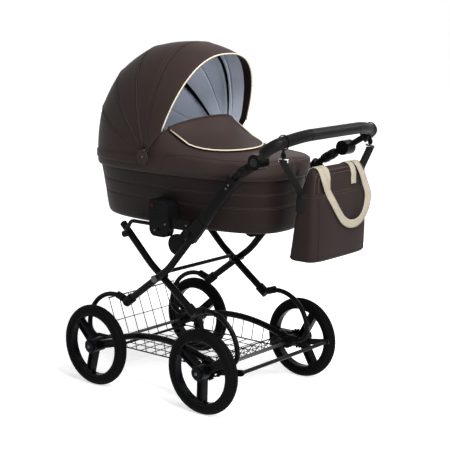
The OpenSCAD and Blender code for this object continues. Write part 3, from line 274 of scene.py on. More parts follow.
# %% Hard finishes
def hard(name, colour, base, gloss, tones, grain, dust, relief, speckle=0.0, **sockets):
    """A hard finish: slow dust changes tone and gloss, and a fine grain gives the relief."""
    f = Finish(name, colour, base, **sockets)
    fine, slow = f.noise(grain, 2.0), f.noise(*dust)
    tone = slow * (1 - speckle) + fine * speckle if speckle else slow
    f.tint(tone, *tones)
    f.feed("Roughness", gloss[0] + slow * gloss[1])
    return f.bump(fine, *relief).material


def powder_coat(name, colour, roughness):
    return hard(name, colour, roughness, (roughness - 0.06, 0.12), (0.8, 1.35), 520.0, (11.0, 5.0), (0.12, 0.0004),
                Specular_IOR_Level=0.05)


def moulded(name, colour, roughness):
    return hard(name, colour, roughness, (roughness - 0.08, 0.16), (0.8, 1.3), 1400.0, (16.0, 4.0), (0.25, 0.0003),
                speckle=0.3, Specular_IOR_Level=0.04)


def plated(name, colour):
    return hard(name, colour, 0.3, (0.22, 0.2), (0.85, 1.1), 900.0, (60.0, 4.0), (0.08, 0.0003), Metallic=1.0)


def rubber(name, colour):
    return hard(name, colour, 0.5, (0.62, 0.2), (0.75, 1.5), 1100.0, (26.0, 5.0), (0.3, 0.0004),
                Specular_IOR_Level=0.04)


PAINT = (0.0026, 0.0026, 0.0029)
coat = powder_coat("satin black paint", PAINT, 0.24)
wire = powder_coat("black wire paint", PAINT, 0.3)
plastic = moulded("black moulded plastic", (0.0032, 0.0032, 0.0035), 0.4)
charcoal = moulded("charcoal rim plastic", (0.0020, 0.0022, 0.0030), 0.28)
grey = moulded("grey button plastic", (0.018, 0.019, 0.021), 0.42)
red = moulded("dark red button plastic", (0.03, 0.006, 0.006), 0.45)
steel = plated("plated steel", (0.56, 0.56, 0.57))
gunmetal = plated("gunmetal", (0.06, 0.06, 0.064))
tread = rubber("tyre rubber", (0.0018, 0.0018, 0.0021))
print("finishes:", len(bpy.data.materials))

# %% [markdown]
# ## Dress the hard parts
# The rigid solids have the right shapes already, so they keep their meshes and only get a finish.

# %% Finishes on the rigid solids
FINISHES = [("tyre", tread), (("rim_", "hub_"), charcoal), ("basket", wire), ("height_button", grey),
            ("release_button", red), (("axles", "cross_bolts"), gunmetal), ("hood_hinges", hide_dark),
            (("front_tube_caps", "spring_shoes", "axle_blocks", "cot_", "hinge_", "fold_", "handle_sleeves",
              "hood_bow"), plastic)]


def finish_of(name):
    return next((finish for start, finish in FINISHES if name.startswith(start)), coat)


for name, solid in nodes.items():
    solid.data.materials.clear()
    solid.data.materials.append(finish_of(name))
print("dressed", len(nodes), "solids")

# %% [markdown]
# ### The floor
# A wide sheet of pale card. Its own light, which only the camera and reflections see, lifts it to the
# white of the background, so just the darkest part of the shadow stays visible. Near the pram the
# light is weaker, to leave that shadow its strength.

# %% Floor
floor_mesh = bpy.data.meshes.new("floor")
bm = bmesh.new()
bmesh.ops.create_circle(bm, cap_ends=True, segments=64, radius=14.0)
bm.to_mesh(floor_mesh)
bm.free()
floor = bpy.data.objects.new("floor", floor_mesh)
scene.collection.objects.link(floor)
card = Finish("pale floor card", (0.9, 0.9, 0.9), 0.9)
card.feed("Base Color", card.blend(card.noise(3.0, 3.0), (0.88, 0.88, 0.88), (0.93, 0.93, 0.93)))
NEAR, FAR, NEAR_GLOW = 0.9, 2.0, 0.62
reach = card.add("ShaderNodeVectorMath", {"operation": "LENGTH"}, {"Vector": card.place()}, "Value")
far = card.add("ShaderNodeMapRange", {}, {"Value": reach, "From Min": NEAR, "From Max": FAR, "To Min": NEAR_GLOW,
                                          "To Max": 1.0}, "Result")
rays = [card.add("ShaderNodeLightPath", {}, {}, label) for label in SEEN_RAYS]
glow = rays[0].greater(rays[1]).greater(rays[2]) * far
card.shader.inputs["Emission Strength"].default_value = 1.0
card.feed("Emission Color", card.blend(glow, (0, 0, 0), (1, 1, 1)))
floor.data.materials.append(card.material)

# %% [markdown]
# ## Tools for sewn pieces
# A sewn panel is a grid of points: rows along the seam, columns across it. The grid is given its
# thickness by Solidify, which also puts a second material, the lining, on the inner face. A loft
# joins rings of points, and piping is a loft of small circles along a line. All of them end as plain
# meshes at the origin, and each is told its body and the solid that it replaces.

# %% Sewing tools
def plain(obj):
    """Applies the modifiers of a piece and leaves a plain mesh."""
    graph = bpy.context.evaluated_depsgraph_get()
    mesh = bpy.data.meshes.new_from_object(obj.evaluated_get(graph))
    obj.modifiers.clear()
    old, obj.data = obj.data, mesh
    bpy.data.meshes.remove(old)
    mesh.name = obj.name
    return obj


def piece(name, points, faces, materials, uvs=None):
    mesh = bpy.data.meshes.new(name)
    mesh.from_pydata([tuple(p) for p in points], [], faces)
    for m in materials:
        mesh.materials.append(m)
    if uvs:
        layer = mesh.uv_layers.new(name="strap")
        for loop in mesh.loops:
            layer.data[loop.index].uv = uvs[loop.vertex_index]
    mesh.shade_smooth()
    obj = bpy.data.objects.new(name, mesh)
    scene.collection.objects.link(obj)
    return obj


def grid_faces(rows, cols, round_rows=False, round_cols=False):
    faces = []
    for k in range(rows if round_rows else rows - 1):
        for j in range(cols if round_cols else cols - 1):
            k2, j2 = (k + 1) % rows, (j + 1) % cols
            faces.append((k * cols + j, k2 * cols + j, k2 * cols + j2, k * cols + j2))
    return faces


def grid_area(rows):
    total = 0.0
    for a, b in zip(rows, rows[1:]):
        for p, q, r, s in zip(a, a[1:], b[1:], b):
            total += ((r - p).cross(s - q)).length / 2
    return total


def cloth_panel(name, rows, materials, thickness):
    """A sewn panel: rows of points seen from outside, thickened inwards."""
    rows = [[Vector(p) for p in row] for row in rows]
    obj = piece(name, [p for row in rows for p in row], grid_faces(len(rows), len(rows[0])), materials)
    solid = obj.modifiers.new("thickness", "SOLIDIFY")
    solid.thickness, solid.offset = thickness, -1.0
    solid.use_even_offset = True
    if len(materials) > 1:
        solid.material_offset = 1
    return plain(obj), grid_area(rows)


def put(obj, body, node=None):
    """Says which body a piece rides, which solid it replaces, if any."""
    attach(obj, body)
    if node:
        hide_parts(node)
    return obj


def loft(name, rings, materials, closed=False):
    """A skin over rings of points, with flat ends unless the rings close a loop."""
    count, size = len(rings), len(rings[0])
    faces = [tuple(reversed(f)) for f in grid_faces(count, size, closed, True)]
    if not closed:
        faces += [tuple(reversed(range(size))), tuple((count - 1) * size + i for i in range(size))]
    return piece(name, [p for ring in rings for p in ring], faces, materials)


def turns(count):
    return [2 * math.pi * i / count for i in range(count)]


def tube(name, points, radius, material, sides=8, closed=False):
    """Piping, a welt or a wire: a round tube along points, capped unless it is a loop."""
    pts = [Vector(p) for p in points]
    n = len(pts)
    side = None
    rings = []
    for i, p in enumerate(pts):
        before = pts[i - 1] if i or closed else p
        after = pts[(i + 1) % n] if i < n - 1 or closed else p
        ahead = (after - before).normalized()
        if side is None:
            side = ahead.orthogonal().normalized()
        side = (side - ahead * side.dot(ahead)).normalized()
        up = ahead.cross(side)
        rings.append([p + radius * (math.cos(turn) * side + math.sin(turn) * up) for turn in turns(sides)])
    return loft(name, rings, [material], closed)


def super_pt(a, b, n, degrees):
    t = math.radians(degrees)
    c, s = math.cos(t), math.sin(t)
    return (a * math.copysign(abs(c) ** (2 / n), c), b * math.copysign(abs(s) ** (2 / n), s))


def between(a, b, share):
    return a + (b - a) * share


def sweep(reach, count):
    """Even steps from -reach to reach."""
    return [between(-reach, reach, j / count) for j in range(count + 1)]


def run_of(line):
    """The length of a line of points."""
    return sum((a - b).length for a, b in zip(line, line[1:]))


# %% [markdown]
# ## Carrycot body
# The body is a stiff tub covered in leatherette: straight sides that flare upwards, a rounded
# bottom edge and two pairs of stitched lines round it. It is lofted from rings of one outline, and
# each stitched line is a shallow valley between two rings. The inside is lined.

# %% Carrycot shell
COT_X, COT_A, COT_B, COT_N = 0.005, 0.420, 0.212, 2.8
COT_LOW, COT_RIM, COT_TOP = 0.612, 0.826, 0.850
SIDE_IN, END_IN = 0.038, 0.020
COT_ROUND, AROUND = 0.016, 144


def cot_outline(z, out_side, out_end):
    ring = []
    for i in range(AROUND):
        x, y = super_pt(COT_A + out_end, COT_B + out_side, COT_N, 360.0 * i / AROUND)
        ring.append(Vector((COT_X + x, y, z)))
    return ring


def tub_ring(z, inset):
    """The tub's outline at a height, where its side is drawn in, and a little further in."""
    draw = (COT_RIM - z) / (COT_RIM - COT_LOW - COT_ROUND)
    return cot_outline(z, -SIDE_IN * draw - inset, -END_IN * draw - inset)


STITCH_Z = (0.752, 0.704)
BOTTOM_EDGE = ((0.0, 0.019), (0.0015, 0.013), (0.005, 0.0065), (0.010, 0.0025), (COT_ROUND, 0.0004))
VALLEY = ((-0.009, 0.0), (-0.0045, 0.0), (-0.0025, 0.0014), (0.0, 0.0004), (0.0025, 0.0014), (0.0045, 0.0),
          (0.009, 0.0))
INSIDE = [(COT_RIM, 0.008), (0.70, 0.008), (COT_LOW + 0.018, 0.0085), (COT_LOW + 0.0105, 0.017)]
levels = [(COT_LOW + dz, dip) for dz, dip in BOTTOM_EDGE] + [(0.645, -0.0008), (0.672, -0.0008)]
levels += [(line + dz, dip) for line in reversed(STITCH_Z) for dz, dip in VALLEY]
levels += [(0.79, -0.0006), (COT_RIM, 0.0)]
rings = [tub_ring(z, inset) for z, inset in levels + INSIDE]
tub = loft("cot_tub", rings, [hide_dark, lining])
lined, floor_face = (len(levels) - 1) * AROUND, len(tub.data.polygons) - 1
for face in tub.data.polygons:
    if lined <= face.index < (len(rings) - 1) * AROUND or face.index == floor_face:
        face.material_index = 1
put(tub, "carrycot", "cot_shell")
print("tub rings:", len(rings))

# %% [markdown]
# ## Rim and mattress
# A padded roll caps the tub. Its section is drawn once and carried round the outline. The mattress
# is a crowned cushion with drawn-in sides that lies on the tub's floor.

# %% Rim roll and mattress
RIM_OUT = 0.009
RIM_SECTION = [(0.0004, 0.802), (0.0004, 0.82615), (-0.010, 0.82615), (-0.0105, 0.840), (-0.0085, 0.8475),
               (-0.003, 0.8500), (0.003, 0.8490), (0.0072, 0.8445), (0.0092, 0.838), (0.0094, 0.826),
               (0.0092, 0.814), (0.0078, 0.8065), (0.0055, 0.8025), (0.0025, 0.8015)]
roll_rows = []
for i in range(AROUND):
    flat = [super_pt(COT_A + out, COT_B + out, COT_N, 360.0 * i / AROUND) for out, _ in RIM_SECTION]
    roll_rows.append([(COT_X + x, y, z) for (x, y), (_, z) in zip(flat, RIM_SECTION)])
roll = put(loft("cot_rim_roll", roll_rows, [hide], closed=True), "carrycot", "cot_rim")

BED_Z, BED_IN, BED_LONG = 0.6224, 0.0085, 1.4
BED_LEVELS = [(0.0, 0.014), (0.002, 0.008), (0.007, 0.003), (0.014, 0.0015), (0.022, 0.002), (0.029, 0.006),
              (0.034, 0.016), (0.0375, 0.040), (0.039, 0.080), (0.040, 0.120)]
bed_rings = [cot_outline(BED_Z + z, -SIDE_IN - BED_IN - inset, -END_IN - BED_IN - inset * BED_LONG)
             for z, inset in BED_LEVELS]
bed = put(loft("mattress_pad", bed_rings, [ticking]), "carrycot", "mattress")

# %% [markdown]
# ## Hood
# The hood is one curved skin over folding bows. Each panel between two bows belongs to its own body,
# so that the hood can fold: a panel starts at its own radius and ends at the next panel's, which
# makes the skin continuous when it is up and lets the panels nest when it is down. Between bows the
# cloth is drawn in a little. Seams get a slim welt, the front edge gets cream piping.

# %% Hood panels
PIVOT = Vector((-0.052, 0.0, 0.860))
HOOD_R, HOOD_W, HOOD_N, NEST, DRAWN = 0.400, 0.238, 2.5, 0.004, 0.002
VISOR_LEAN, VISOR_OUT, VISOR_FOOT = math.radians(21.8), 0.0443, 0.128
SEAMS = [64.0, 82.0, 106.0, 130.0, 154.0, 181.0]
HOOD_PIECES = [("visor", "hood_fold_visor", "hood_visor", 0.016), ("fore", "hood_fold_fore", "hood_fore", 0.030),
               ("crown", "hood_fold_crown", "hood_crown", 0.026),
               ("middle", "hood_fold_middle", "hood_middle", 0.022), ("rear", "carrycot", "hood_rear", 0.020)]
OVER_RIM, HEM_Z = 0.0128, (0.829, 0.835, 0.842, 0.849, 0.8535)


def visor_turn(r):
    """The angle at which the visor's leaning front edge is met at a radius; its foot runs to the pivot."""
    r = max(r, VISOR_FOOT)
    return math.degrees(math.acos(VISOR_OUT * math.cos(VISOR_LEAN) / r) - VISOR_LEAN)


def hood_pt(k, share, degrees):
    """A point of panel k: share runs from its front to its rear seam, degrees over its arch."""
    nested = k + share if k else share ** 2
    inset = NEST * nested + DRAWN * math.sin(math.pi * share) * math.cos(math.radians(degrees)) ** 0.6
    r, y = super_pt(HOOD_R - inset, HOOD_W - inset, HOOD_N, degrees)
    start = visor_turn(r) if k == 0 else SEAMS[k]
    turn = math.radians(between(start, SEAMS[k + 1], share))
    return PIVOT + Vector((r * math.cos(turn), y, r * math.sin(turn)))


def over_rim(p, z):
    """Where a point of the hood's lower rear edge hangs over the padded rim."""
    dx, dy = p.x - COT_X, p.y
    share = ((abs(dx) / (COT_A + OVER_RIM)) ** COT_N + (abs(dy) / (COT_B + OVER_RIM)) ** COT_N) ** (-1 / COT_N)
    return Vector((COT_X + dx * share, dy * share, z))


def hood_reach(k, foot):
    """The arch angle at which a panel comes down to its foot radius."""
    return math.degrees(math.acos((foot / (HOOD_R - NEST * k)) ** (HOOD_N / 2)))


ARCH, DEEP, VISOR_HEM, HOOD_T = 64, 14, 5, 0.0025
for k, (name, body, node, foot) in enumerate(HOOD_PIECES):
    arch = sweep(hood_reach(k, foot), ARCH)
    rows = [[hood_pt(k, i / DEEP, d) for d in arch] for i in range(DEEP, -1, -1)]
    if name == "rear":
        rows = [[over_rim(p, z) for p in rows[0]] for z in HEM_Z] + rows
    panel, area = cloth_panel("hood_" + name + "_cloth", rows, [hide, lining], HOOD_T)
    if k == 0:
        panel.data.materials.append(hide_dark)
        for face in panel.data.polygons:
            p = face.center - PIVOT
            start = visor_turn(math.hypot(p.x, p.z))
            share = (math.degrees(math.atan2(p.z, p.x)) - start) / (SEAMS[1] - start)
            if face.material_index == 1 and share < VISOR_HEM / DEEP:
                face.material_index = 2
    put(panel, body, node)
    wide = run_of(rows[0])
    deep = max((rows[0][j] - rows[-1][j]).length for j in range(ARCH + 1)) * 1.04
    if k:
        welt = tube("hood_" + name + "_welt", rows[-1], 0.0014 if k == 1 else 0.0019, hide)
        put(welt, body)
    else:
        front = [hood_pt(k, 0.0, d) for d in sweep(hood_reach(k, VISOR_FOOT), ARCH)]
        put(tube("hood_front_piping", front, 0.0025, piping), body)
print("hood panels:", len(HOOD_PIECES))

# %% [markdown]
# ### Bows
# Two flat bows carry the hood from inside. They arch like the panels, but further in than the last
# of them, so that they fold away under the nested panels without cutting into the cloth.

# %% Hood bows
BOWS = [("middle", "hood_fold_crown", 124.0, 128.0, 0.0244), ("front", "hood_fold_visor", 80.0, 83.0, 0.0272)]
BOW_T, BOW_FOOT, BOW_CROWN, ACROSS = 0.0018, 0.016, 0.0005, 6
for name, body, start, stop, inset in BOWS:
    arch = sweep(hood_reach(5, BOW_FOOT), ARCH)
    rows = []
    for i in range(ACROSS, -1, -1):
        turn = math.radians(between(start, stop, i / ACROSS))
        deep = inset + BOW_CROWN * (2 * i / ACROSS - 1) ** 2
        flat = [super_pt(HOOD_R - deep, HOOD_W - deep, HOOD_N, d) for d in arch]
        rows.append([PIVOT + Vector((r * math.cos(turn), y, r * math.sin(turn))) for r, y in flat])
    bow, _ = cloth_panel("hood_" + name + "_strip", rows, [plastic], BOW_T)
    put(bow, body, "hood_bow_" + name)
print("hood bows:", len(BOWS))

# %% [markdown]
# ## Apron
# The apron covers the foot half of the carrycot. It buttons over the rim, rises to a soft hump at
# the front and falls towards the foot. One function gives a point of the surface, and the skirt
# below the rim is the first and last column. The turned-back flap is the same surface again, a
# little further out, with a curved free edge and cream piping.

# %% Apron and flap
APRON_FRONT, APRON_RISE, APRON_LEAN, APRON_FOOT, SKIRT = 0.044, 0.138, 0.114, 0.022, 0.040
APRON_FALL, APRON_SQUARE, APRON_EASE = 3.2, 0.55, 1.4
APRON_T, FLAP_T, FLAP_LEN, GAP = 0.003, 0.005, 0.278, 0.0004
APRON_BASE = COT_TOP + GAP
FLAP_FROM, FLAP_TO, FLAP_SWELL, FLAP_LIFT = 38.0, 142.0, 0.0022, 0.004
SEAM_FROM, SEAM_TO, SEAM_CLIMB, SEAM_OUT = 0.10, 0.97, 27.0, APRON_T + 0.0002


def rim_turn(x):
    d = x - COT_X
    return math.degrees(math.acos(math.copysign((abs(d) / COT_A) ** (COT_N / 2), d)))


def apron_pt(turn, climb, out):
    x, y = super_pt(COT_A + RIM_OUT + GAP + out, COT_B + RIM_OUT + GAP + out, COT_N, turn)
    q = min(1.0, max(0.0, (COT_X + x + APRON_FRONT) / (COT_A + COT_X + APRON_FRONT)))
    s = max(0.0, math.sin(math.radians(climb)))
    fall = (1 - q) ** APRON_FALL
    lean = APRON_LEAN * fall - APRON_FOOT * q
    rise = APRON_FOOT + (APRON_RISE - APRON_FOOT) * fall
    return Vector((COT_X + x + lean * s ** APRON_EASE, -y * math.cos(math.radians(climb)),
                   APRON_BASE + out + rise * s ** APRON_SQUARE))


FRONT_TURN, REAR_TURN = rim_turn(-APRON_FRONT), 0.02
LONG, OVER, BACK = 60, 48, 18
apron_rows = []
for k in range(LONG + 1):
    turn = between(FRONT_TURN, REAR_TURN, (k / LONG) ** APRON_EASE)
    row = [apron_pt(turn, 180.0 * j / OVER, APRON_T) for j in range(OVER + 1)]
    for end in (0, -1):
        edge = row[end]
        low = [Vector((edge.x, edge.y, between(edge.z, APRON_BASE - SKIRT, s))) for s in (0.5, 1.0)]
        row = row + low if end else low[::-1] + row
    apron_rows.append(row)
apron, area = cloth_panel("apron_cloth", apron_rows, [hide, lining], 0.0024)
put(apron, "carrycot", "apron")
wide = run_of(apron_rows[0])

flap_reach = FRONT_TURN - rim_turn(FLAP_LEN - APRON_FRONT)
flap_rows = []
for k in range(BACK + 1):
    row = []
    for j in range(OVER + 1):
        climb = between(FLAP_FROM, FLAP_TO, j / OVER)
        round_edge = 0.06 + 0.94 * max(0.0, math.sin(math.pi * j / OVER)) ** 0.5
        turn = FRONT_TURN - flap_reach * (k / BACK) * round_edge
        swell = FLAP_SWELL * math.sin(math.pi * k / BACK) + FLAP_LIFT * (k / BACK) ** 3
        row.append(apron_pt(turn, climb, APRON_T + 2 * GAP + FLAP_T - FLAP_SWELL + swell))
    flap_rows.append(row)
flap, area = cloth_panel("apron_flap_cloth", flap_rows, [hide], 0.0026)
put(flap, "carrycot", "apron_flap")
wide = run_of(flap_rows[BACK // 2])
for side, label in ((1, "left"), (-1, "right")):
    seam = []
    for j in range(LONG + 1):
        turn = between(FRONT_TURN, REAR_TURN, between(SEAM_FROM, SEAM_TO, j / LONG) ** APRON_EASE)
        climb = SEAM_CLIMB * (1 - math.exp(-5.0 * j / LONG))
        if j == 0:
            foot = apron_pt(turn, 0.0 if side > 0 else 180.0, SEAM_OUT)
            seam += [foot - Vector((0.010, 0, 0.036)), foot - Vector((0.005, 0, 0.018))]
        seam.append(apron_pt(turn, climb if side > 0 else 180.0 - climb, SEAM_OUT))
    put(tube("apron_seam_" + label, seam, 0.0017, hide), "carrycot")
hem = tube("apron_flap_piping", flap_rows[-1], 0.0027, piping)
fold = tube("apron_fold_edge", [p - Vector((0, 0, 0.002)) for p in flap_rows[0]], 0.0035, hide)
put(hem, "carrycot")
put(fold, "carrycot")
print("apron rows:", len(apron_rows))

# %% [markdown]
# ## Changing bag
# The bag is a soft tote hung from the handle: a wide bottom, a sewn band, and a narrower top that
# closes with a zip. It is lofted from rounded rings, with a small sag between them. The carrying
# loops are flat webbing: a ribbon is a line of points, each with the direction it faces.

# %% Bag body
CLIP = Vector(joint["bag_swing"]["pos_m"])
BAG_W, BAG_D, BAG_H, BAG_TOP = 0.320, 0.124, 0.309, CLIP.z - 0.094
BAG_LOW = BAG_TOP - BAG_H
BAG_AROUND, BAG_N = 96, 4.5


def bag_ring(share, front, rear, ends):
    """One level of the bag: how far its front, rear and ends are drawn in, in millimetres."""
    front, rear, ends = front / 1000, rear / 1000, ends / 1000
    ring = []
    for i in range(BAG_AROUND):
        x, y = super_pt((BAG_D - front - rear) / 2, BAG_W / 2 - ends, BAG_N, 360.0 * i / BAG_AROUND)
        ring.append(Vector((CLIP.x + (front - rear) / 2 + x, y, BAG_LOW + share * BAG_H)))
    return ring


bag_levels = [(0.0, 8, 8, 8), (0.004, 5, 5, 5), (0.012, 2.5, 2.5, 2.5), (0.03, 0.6, 0.6, 0.6), (0.10, 5, -0.5, 0.3),
              (0.25, 13, -1.6, 0.8), (0.40, 21, -1.8, 1.2), (0.57, 32, -0.6, 3), (0.68, 37.5, 0.3, 4.5),
              (0.705, 39, -0.4, 4.6), (0.715, 39.4, -0.6, 4.8), (0.722, 40, 0.2, 5.2), (0.73, 43.0, 4.0, 8.6),
              (0.74, 44.6, 5.6, 9.6), (0.82, 54.4, 6.6, 11), (0.90, 64.5, 7.0, 12.6), (0.95, 70, 11.5, 16.5),
              (0.975, 75, 17, 20.5), (0.992, 83, 25, 27), (0.999, 88, 30, 33)]
bag_rings = [bag_ring(*level) for level in bag_levels]
bag = put(loft("bag_tote", bag_rings, [hide_bag]), "bag", "bag_body")
for name, level in (("bag_band_welt", 11), ("bag_foot_welt", 3)):
    put(tube(name, bag_rings[level], 0.0016, hide_bag, closed=True), "bag")
print("bag rings:", len(bag_rings))


# %% Ribbons
def smooth_line(points, count):
    """A Catmull-Rom line through points, with count points at even steps of its parameter."""
    pts = [Vector(p) for p in points]
    pts = [2 * pts[0] - pts[1]] + pts + [2 * pts[-1] - pts[-2]]
    line = []
    for i in range(count):
        t = i / (count - 1) * (len(pts) - 3)
        k = min(int(t), len(pts) - 4)
        u = t - k
        a, b, c, d = pts[k:k + 4]
        line.append(0.5 * (2 * b + (c - a) * u + (2 * a - 5 * b + 4 * c - d) * u * u
                           + (3 * b - a - 3 * c + d) * u ** 3))
    return line


WEB_SECTION = ((-0.5, -0.5), (-0.5, 0.5), (-0.3, 0.62), (0.3, 0.62), (0.5, 0.5), (0.5, -0.5))


def ribbon(name, line, facing, width, thick, material):
    """Flat webbing along a line of points that faces the given directions; UV in metres."""
    verts, uvs, run = [], [], 0.0
    for i, (p, face) in enumerate(zip(line, facing)):
        ahead = (line[min(i + 1, len(line) - 1)] - line[max(i - 1, 0)]).normalized()
        face = (face - ahead * face.dot(ahead)).normalized()
        across = ahead.cross(face)
        run += (p - line[i - 1]).length if i else 0.0
        for c, f in WEB_SECTION:
            verts.append(p + across * width * c + face * thick * f)
            uvs.append((width * c, run))
    size = len(WEB_SECTION)
    faces = grid_faces(len(line), size, round_cols=True)
    faces += [tuple(range(size)), tuple(len(verts) - 1 - j for j in range(size))]
    obj = piece(name, verts, faces, [material], uvs)
    bm = bmesh.new()
    bm.from_mesh(obj.data)
    bmesh.ops.recalc_face_normals(bm, faces=bm.faces)
    bm.to_mesh(obj.data)
    bm.free()
    return obj, run


# %% Carrying loops
def bag_drawn(share, column):
    """How far the bag is drawn in at a height: column 1 is its front, 2 its rear, 3 its ends."""
    for low, high in zip(bag_levels, bag_levels[1:]):
        if share <= high[0]:
            break
    return between(low[column], high[column], (share - low[0]) / (high[0] - low[0])) / 1000


def bag_face(share, side, out, up=0.0):
    """Depth and height of the front (-1) or rear (1) of the bag, let out a little."""
    drawn = bag_drawn(share, 2 if side > 0 else 1)
    return CLIP.x + side * (BAG_D / 2 - drawn + out), BAG_LOW + share * BAG_H + up


LOOP_W, LOOP_T, LOOP_OUT = 0.028, 0.0028, 0.002


def bag_loop(name, side, legs, bight):
    """One carrying loop: sewn on the far face, over the top, down this face in a bight, and back."""
    def leg(y):
        back = [(*bag_face(share, -side, 0.0020), (-side, 0, 0.3)) for share in (0.78, 0.84, 0.90)]
        back.append((*bag_face(0.975, -side, 0.0025, 0.0015), (-side, 0, 1)))
        over = [(*bag_face(0.999, e, 0.0, 0.0028), (0, 0, 1)) for e in (-side, side)]
        over.append((*bag_face(0.975, side, 0.0030, 0.0015), (side, 0, 1)))
        return [((x, y, z), f) for x, z, f in back + over]
    down = []
    for y, share, gap, face in bight:
        x, z = bag_face(share, side, LOOP_OUT + gap)
        down.append(((x, y, z), face))
    stops = leg(legs[0]) + down + leg(legs[1])[::-1]
    count = 10 * len(stops)
    line = smooth_line([p for p, _ in stops], count)
    facing = smooth_line([f for _, f in stops], count)
    obj, run = ribbon(name, line, facing, LOOP_W, LOOP_T, strap_cream)
    put(obj, "bag")
    return obj


REAR_BIGHT = [(-0.108, 0.86, 0.005, (1, 0, 0.1)), (-0.088, 0.74, 0.004, (1, 0, 0)), (-0.062, 0.62, 0.002, (1, 0, 0)),
              (-0.034, 0.50, 0.003, (1, 0, 0)), (-0.006, 0.405, 0.004, (1, 0, 0)), (0.030, 0.355, 0.006, (1, 0.1, 0)),
              (0.068, 0.362, 0.009, (1, 0.1, 0)), (0.098, 0.43, 0.012, (1, 0.0, 0)), (0.116, 0.54, 0.014, (1, -0.2, 0)),
              (0.123, 0.66, 0.013, (1, -0.2, 0)), (0.118, 0.78, 0.009, (1, -0.1, 0)), (0.106, 0.88, 0.006, (1, 0, 0.1))]
FRONT_BIGHT = [(y, share, gap, (-1, 0, 0.3)) for y, share, gap in
               ((-0.084, 0.86, 0.006), (-0.076, 0.72, 0.004), (-0.040, 0.52, 0.003), (-0.012, 0.43, 0.003),
                (0.020, 0.41, 0.003), (0.052, 0.47, 0.003), (0.074, 0.62, 0.004), (0.070, 0.80, 0.006),
                (0.066, 0.87, 0.006))]


# %% Bag trims
def bag_end(share):
    """Half the bag's width at a height."""
    return BAG_W / 2 - bag_drawn(share, 3)


def bag_spot(share, side, y, out=0.0006):
    """A point on the front or rear of the bag, round its corners too."""
    far, z = bag_face(share, side, 0.0)
    near, _ = bag_face(share, -side, 0.0)
    across = max(0.0, 1 - (abs(y) / bag_end(share)) ** BAG_N) ** (1 / BAG_N)
    return Vector(((far + near) / 2 + (far - near) / 2 * across + side * out, y, z + out * 0.4))


def bag_arch(inset, low, top):
    """A line on the rear face: up one side, round the corner, across below the top, and down again."""
    half = []
    for rise, draw in ((0.0, 0.0), (0.4, 0.0), (0.72, 0.001), (0.88, 0.006), (0.97, 0.017), (1.0, 0.034), (1.0, 0.070)):
        share = between(low, top, rise)
        half.append(bag_spot(share, 1, -(bag_end(share) - inset - draw)))
    return smooth_line(half + [Vector((p.x, -p.y, p.z)) for p in reversed(half)], 120)


LID_LOW, CORNER_TOP, CORNER_LOW, CORNER_IN = 0.745, 0.705, 0.035, 0.030
ZIP_HALF, ZIP_W, ZIP_T, ZIP_UP = 0.128, 0.0040, 0.0010, 0.0004
# The middle lid line is a dark leatherette tube between the two welts: painted shade of the groove between them.
bag_trim = [tube(name, bag_arch(inset, LID_LOW, top), radius, material) for name, inset, top, radius, material in
            (("bag_lid_welt", 0.006, 0.962, 0.0027, hide), ("bag_lid_seam", 0.013, 0.945, 0.0018, hide_dark),
             ("bag_lid_edge", 0.020, 0.928, 0.0025, hide))]
for side, label in ((-1, "left"), (1, "right")):
    line = [bag_spot(between(CORNER_TOP, CORNER_LOW, j / 24), 1, side * (BAG_W / 2 - CORNER_IN), -0.0002)
            for j in range(25)]
    bag_trim.append(tube("bag_corner_seam_" + label, line, 0.0015, hide_dark))
zip_x = CLIP.x + (bag_levels[-1][1] - bag_levels[-1][2]) / 2000
zip_z = BAG_LOW + bag_levels[-1][0] * BAG_H + ZIP_UP
zip_line = [Vector((zip_x, y, zip_z)) for y in sweep(ZIP_HALF, 60)]
tape, _ = ribbon("bag_zip_tape", zip_line, [Vector((0, 0, 1))] * len(zip_line), ZIP_W, ZIP_T, strap_black)
for trim in bag_trim + [tape]:
    put(trim, "bag")
loops = [bag_loop("bag_loop_rear", 1, (-0.112, 0.099), REAR_BIGHT),
         bag_loop("bag_loop_front", -1, (-0.085, 0.064), FRONT_BIGHT)]
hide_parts("bag_handles")
print("bag trims:", len(bag_trim) + 1, "and", len(loops), "loops")

# %% [markdown]
# ## Hanging straps
# On each side a ring goes round the padded bar, a snap hook hangs from it, and black webbing runs
# from the hook's buckle down to the bag's end, where it is sewn on.

# %% Hanging straps
CLIP_Y, RING_R, RING_T = 0.249, 0.0232, 0.004
HOOK_LEN, HOOK_R, SNAP_R, BUCKLE_HALF, BUCKLE_R = 0.034, 0.0042, 0.0024, 0.018, 0.0028
EYE_W, EYE_H, EYE_DROP, WEB_W, WEB_T = 0.0075, 0.010, 0.019, 0.030, 0.003


